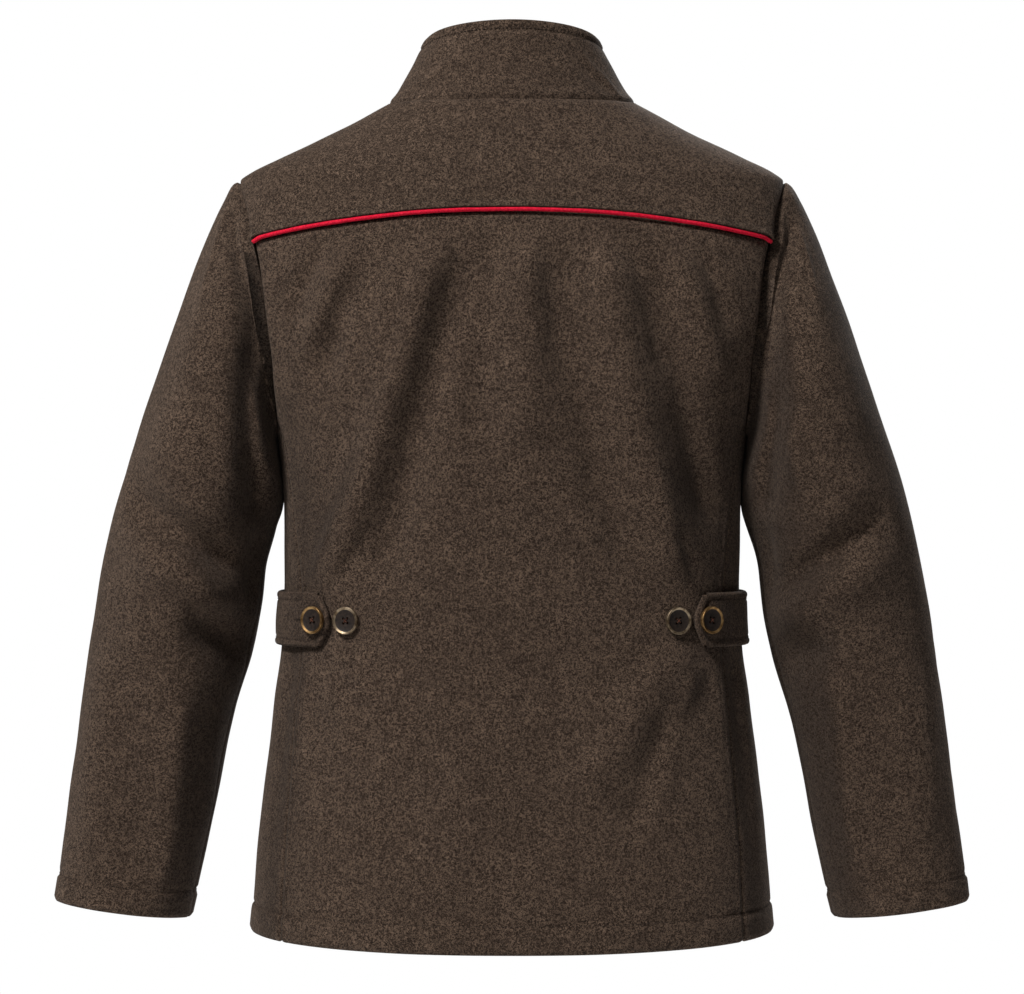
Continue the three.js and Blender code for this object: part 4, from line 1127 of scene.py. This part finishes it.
def sew(name, seams, pitch=STITCH_PITCH, length=STITCH_LENGTH, material=THREAD):
    """One mesh of stitches along lines on the cloth, each line given as points and normals."""
    verts, faces = [], []
    angles = np.linspace(0, 2 * math.pi, BEAD_SIDES, endpoint=False)
    for points, normals in seams:
        run = np.concatenate([[0], np.cumsum(np.linalg.norm(np.diff(points, axis=0), axis=1))])
        places = np.arange(pitch, run[-1] - pitch / 2, pitch)
        at = np.stack([np.interp(places, run, points[:, k]) for k in range(3)], axis=-1)
        ahead = np.stack([np.interp(places + 1, run, points[:, k]) for k in range(3)], axis=-1)
        up = np.stack([np.interp(places, run, normals[:, k]) for k in range(3)], axis=-1)
        for spot, way, rise in zip(at, ahead - at, up):
            way /= np.linalg.norm(way)
            rise = rise - way * np.dot(rise, way)
            rise /= np.linalg.norm(rise)
            side = np.cross(way, rise)
            first = len(verts)
            for place, thickness in BEAD:
                middle = spot + way * place * length / 2 + rise * (0.25 * thickness - 0.1)
                ring = angles if thickness else angles[:1]
                for angle in ring:
                    swing = rise * math.cos(angle) + side * math.sin(angle)
                    verts.append(middle + swing * STITCH_HALF * thickness)
            last = len(verts) - 1
            for i in range(BEAD_SIDES):
                j = (i + 1) % BEAD_SIDES
                faces.append((first, first + 1 + j, first + 1 + i))
                for row in range(len(BEAD) - 3):
                    a = first + 1 + row * BEAD_SIDES
                    faces.append((a + i, a + j, a + BEAD_SIDES + j, a + BEAD_SIDES + i))
                a = last - BEAD_SIDES
                faces.append((last, a + i, a + j))
    mesh = bpy.data.meshes.new(name)
    mesh.from_pydata((np.array(verts) * MM).tolist(), [], faces)
    shape = bmesh.new()
    shape.from_mesh(mesh)
    bmesh.ops.recalc_face_normals(shape, faces=shape.faces)
    shape.to_mesh(mesh)
    shape.free()
    for polygon in mesh.polygons:
        polygon.use_smooth = True
    mesh.materials.append(material)
    piece = bpy.data.objects.new(name, mesh)
    bpy.context.collection.objects.link(piece)
    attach(piece, "root")
    return piece


def turned(grid):
    """A grid with its sides as its first and last rows."""
    return np.swapaxes(grid, 0, 1)


def hem_seam(points, normals, distance, inset=HEM_DEPTH):
    return stitch_line(points[::-1], normals[::-1], distance[::-1], inset)


def side_seam(points, normals, distance, inset, rows=slice(None)):
    return stitch_line(turned(points[rows]), turned(normals[rows]), turned(distance[rows]), inset)


points, normals = yoke_surface
_, from_piping, _, _ = edge_distances(points)
sew("yoke_stitches", [hem_seam(points, normals, from_piping, YOKE_STITCH)])

points, normals = back_surface
_, from_hem, from_left, from_right = edge_distances(points)
skirt = slice(int(np.argmax(points[:, 0, 2] < armhole_z(SEAM_ANGLE) - 4)), None)
sew(
    "back_stitches",
    [
        hem_seam(points, normals, from_hem),
        side_seam(points, normals, from_left, SIDE_STITCH, skirt),
        side_seam(points[:, ::-1], normals[:, ::-1], from_right[:, ::-1], SIDE_STITCH, skirt),
    ],
)

for name, (upper, lower) in (("left", left_front), ("right", right_front)):
    seams = []
    points, normals, _ = upper
    _, _, from_edge, _ = edge_distances(points)
    seams.append(side_seam(points, normals, from_edge, FRONT_STITCH))
    points, normals, _ = lower
    _, from_hem, _, from_edge = edge_distances(points)
    seams.append(hem_seam(points, normals, from_hem))
    seams.append(side_seam(points[:, ::-1], normals[:, ::-1], from_edge[:, ::-1], FRONT_STITCH))
    sew(f"front_stitches_{name}", seams)

points, normals = collar_surface
from_base, from_top, from_start, from_end = edge_distances(points)
sew(
    "collar_stitches",
    [
        hem_seam(points, normals, from_top, COLLAR_STITCH),
        side_seam(points, normals, from_start, COLLAR_STITCH),
        side_seam(points[:, ::-1], normals[:, ::-1], from_end[:, ::-1], COLLAR_STITCH),
    ],
)

for side in ("left", "right"):
    sew(f"cuff_stitches_{side}", [hem_seam(*cuffs[side, part]) for part in ("top", "under")])
    points, normals, edge = tabs[side]
    half = len(points) // 2
    inner_rows = np.where(edge[:, edge.shape[1] // 2] >= TAB_STITCH)[0]
    first, last = inner_rows[0], inner_rows[-1]
    nose_line = side_seam(points, normals, edge, TAB_STITCH, slice(first, last + 1))
    inner = slice(int(np.argmax(edge[first] >= TAB_STITCH - 0.3)), None)
    long_lines = [
        stitch_line(points[rows, inner], normals[rows, inner], edge[rows, inner], TAB_STITCH)
        for rows in (slice(None, half), slice(None, half, -1))
    ]
    sew(f"tab_stitches_{side}", [nose_line, *long_lines])

# ---- The buttons ----
# Ten buttons of dark horn in a raised metal rim, each with four holes and sewn on with rust-brown thread:
# one on each tab, one beside each tab's point to let the waist out, and six down the front.
BUTTON_RADIUS, BUTTON_THICK = 11.45, 4
BUTTON_WELL, BUTTON_SINK = 9.2, 1.3
BUTTON_STEP, BUTTON_STEP_DEPTH = 1.9, 0.6  # the second step down inside the rim
BUTTON_ROUNDING = 1.0
HOLE_RADIUS, HOLE_SPREAD = 1.15, 1.9
THREAD_LENGTH = 2 * math.sqrt(2) * HOLE_SPREAD  # across the middle, from hole to hole
BUTTONHOLE_MIDDLE, BUTTONHOLE_HALF, BUTTONHOLE_HALF_WIDTH = 3.7, 11.8, 0.9
BUTTON_CLEAR = 0.7
TAB_BUTTON_X, BACK_BUTTON_X = 160, 136
FRONT_BUTTON_TOP, FRONT_BUTTON_STEP, FRONT_BUTTON_COUNT = -84, -94, 6


def button_finish(name, dark, light, metallic, roughness, scale):
    material = bpy.data.materials.new(name)
    material.use_nodes = True
    nodes, links = material.node_tree.nodes, material.node_tree.links
    shader = nodes["Principled BSDF"]
    where = nodes.new("ShaderNodeTexCoord")
    streaks = nodes.new("ShaderNodeTexNoise")
    streaks.inputs["Scale"].default_value = scale
    streaks.inputs["Detail"].default_value = 4
    streaks.inputs["Distortion"].default_value = 0.8
    tone = nodes.new("ShaderNodeValToRGB")
    tone.color_ramp.elements[0].position = 0.35
    tone.color_ramp.elements[0].color = (*dark, 1)
    tone.color_ramp.elements[1].position = 0.68
    tone.color_ramp.elements[1].color = (*light, 1)
    wear = nodes.new("ShaderNodeMapRange")
    wear.inputs["To Min"].default_value = roughness
    wear.inputs["To Max"].default_value = roughness + 0.2
    scratch = nodes.new("ShaderNodeBump")
    scratch.inputs["Strength"].default_value = 0.25
    scratch.inputs["Distance"].default_value = 0.0002
    links.new(where.outputs["Object"], streaks.inputs["Vector"])
    links.new(streaks.outputs["Fac"], tone.inputs["Fac"])
    links.new(streaks.outputs["Fac"], wear.inputs["Value"])
    links.new(streaks.outputs["Fac"], scratch.inputs["Height"])
    links.new(tone.outputs["Color"], shader.inputs["Base Color"])
    links.new(wear.outputs["Result"], shader.inputs["Roughness"])
    links.new(scratch.outputs["Normal"], shader.inputs["Normal"])
    shader.inputs["Metallic"].default_value = metallic
    shader.inputs["Specular IOR Level"].default_value = 0.3
    return material


BRASS = button_finish("aged brass", (0.15, 0.075, 0.025), (0.45, 0.28, 0.12), 0.85, 0.26, 240)
PALE_BRASS = button_finish("worn brass", (0.12, 0.08, 0.045), (0.40, 0.31, 0.21), 0.85, 0.28, 240)
DARK_HORN = button_finish("dark horn", (0.008, 0.0045, 0.003), (0.03, 0.018, 0.012), 0.0, 0.5, 420)


def button_blank():
    """A turned disc with a rounded rim, a sunken face and four holes, its back on the ground plane."""
    bpy.ops.mesh.primitive_cylinder_add(vertices=56, radius=BUTTON_RADIUS * MM, depth=BUTTON_THICK * MM)
    blank = bpy.context.object
    blank.data.transform(Matrix.Translation((0, 0, BUTTON_THICK / 2 * MM)))
    bpy.ops.object.mode_set(mode="EDIT")
    bpy.ops.mesh.select_mode(type="FACE")
    bpy.ops.mesh.select_all(action="DESELECT")
    shape = bmesh.from_edit_mesh(blank.data)
    for face in shape.faces:
        face.select = face.normal.z > 0.9
    bmesh.update_edit_mesh(blank.data)
    bpy.ops.mesh.inset(thickness=(BUTTON_RADIUS - BUTTON_WELL) * MM)
    bpy.ops.transform.translate(value=(0, 0, -BUTTON_SINK * MM))
    bpy.ops.mesh.inset(thickness=BUTTON_STEP * MM)
    bpy.ops.transform.translate(value=(0, 0, -BUTTON_STEP_DEPTH * MM))
    bpy.ops.object.mode_set(mode="OBJECT")
    rounding = blank.modifiers.new("rounding", "BEVEL")
    rounding.width = BUTTON_ROUNDING * MM
    rounding.segments = 5
    rounding.limit_method = "ANGLE"
    rounding.angle_limit = math.radians(40)
    bpy.ops.object.modifier_apply(modifier="rounding")
    for x, y in ((1, 1), (1, -1), (-1, -1), (-1, 1)):
        bpy.ops.mesh.primitive_cylinder_add(vertices=20, radius=HOLE_RADIUS * MM, depth=3 * BUTTON_THICK * MM)
        drill = bpy.context.object
        drill.data.transform(Matrix.Translation(Vector((x, y, 0)) * HOLE_SPREAD * MM))
        bpy.context.view_layer.objects.active = blank
        cut = blank.modifiers.new("hole", "BOOLEAN")
        cut.operation = "DIFFERENCE"
        cut.solver = "EXACT"
        cut.object = drill
        bpy.ops.object.modifier_apply(modifier="hole")
        bpy.data.objects.remove(drill)
    bpy.ops.object.select_all(action="DESELECT")
    blank.select_set(True)
    bpy.context.view_layer.objects.active = blank
    bpy.ops.object.shade_smooth_by_angle(angle=math.radians(35))
    return blank


BLANK = button_blank()
RUST = wool("rust thread", (0.03, 0.01, 0.006), (0.10, 0.03, 0.016), (0.2, 0.07, 0.04), 0.1, 0.0001)


def cloth_spot(x, z, behind, out):
    """A place on the cloth and its outward direction, for what is sewn there."""
    base = np.array([x, torso_y(x, z, behind), z], float)
    return onto_torso(base, out)


def fasten_button(name, x, z, behind, out, rim, spin):
    spot, up = cloth_spot(x, z, behind, out)
    turn = Vector(up).to_track_quat("Z", "Y").to_matrix().to_4x4()
    seat = Matrix.Translation(Vector(spot) * MM) @ turn @ Matrix.Rotation(math.radians(spin), 4, "Z")
    mesh = BLANK.data.copy()
    mesh.materials.clear()
    mesh.materials.append(rim)
    mesh.materials.append(DARK_HORN)
    for polygon in mesh.polygons:
        polygon.material_index = int(polygon.center.xy.length < (BUTTON_WELL - 0.3) * MM)
    mesh.transform(seat)
    button = bpy.data.objects.new(name + "_turned", mesh)
    bpy.context.collection.objects.link(button)
    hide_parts(name)
    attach(button, "root")
    threads = []
    for way in ((1, 1, 0), (1, -1, 0)):
        way = np.array((seat.to_3x3() @ Vector(way)).normalized())
        middle = spot + up * (BUTTON_THICK - BUTTON_SINK - 0.15)
        stretch = way * THREAD_LENGTH
        threads.append((np.array([middle - stretch, middle + stretch]), np.array([up, up])))
    return threads


def buttonhole(x, z, behind, out, side):
    """The worked edge of a buttonhole: a long oval of purl stitches, mostly under its button."""
    turn = np.linspace(0, 2 * math.pi, 90)
    along = BUTTONHOLE_MIDDLE + BUTTONHOLE_HALF * np.cos(turn)
    across = BUTTONHOLE_HALF_WIDTH * np.sin(turn)
    spots = [cloth_spot(x + side * a, z + c, behind, out) for a, c in zip(along, across)]
    return np.array([spot for spot, _ in spots]), np.array([up for _, up in spots])


threads, worked = [], []
on_tab = TAB_CLEAR + TAB_WALL
for side, sign in (("left", 1), ("right", -1)):
    clear = on_tab + BUTTON_CLEAR + 0.7
    threads += fasten_button(f"tab_button_{side}", sign * TAB_BUTTON_X, TAB_Z, True, clear, BRASS, 8 * sign)
    beside = sign * BACK_BUTTON_X
    threads += fasten_button(f"back_button_{side}", beside, TAB_Z, True, BUTTON_CLEAR, PALE_BRASS, 4)
    worked.append(buttonhole(sign * TAB_BUTTON_X, TAB_Z, True, on_tab + 0.85, sign))
for i in range(FRONT_BUTTON_COUNT):
    z = FRONT_BUTTON_TOP + i * FRONT_BUTTON_STEP
    spin = 11 * math.sin(2.3 * i)
    threads += fasten_button(f"front_button_{i + 1}", 0, z, False, BUTTON_CLEAR, BRASS, spin)
    worked.append(buttonhole(0, z, False, 0.15, 1))
bpy.data.objects.remove(BLANK)
sew("button_threads", threads, THREAD_LENGTH, 5.6, RUST)
sew("buttonhole_purls", worked, 0.85, 0.95)
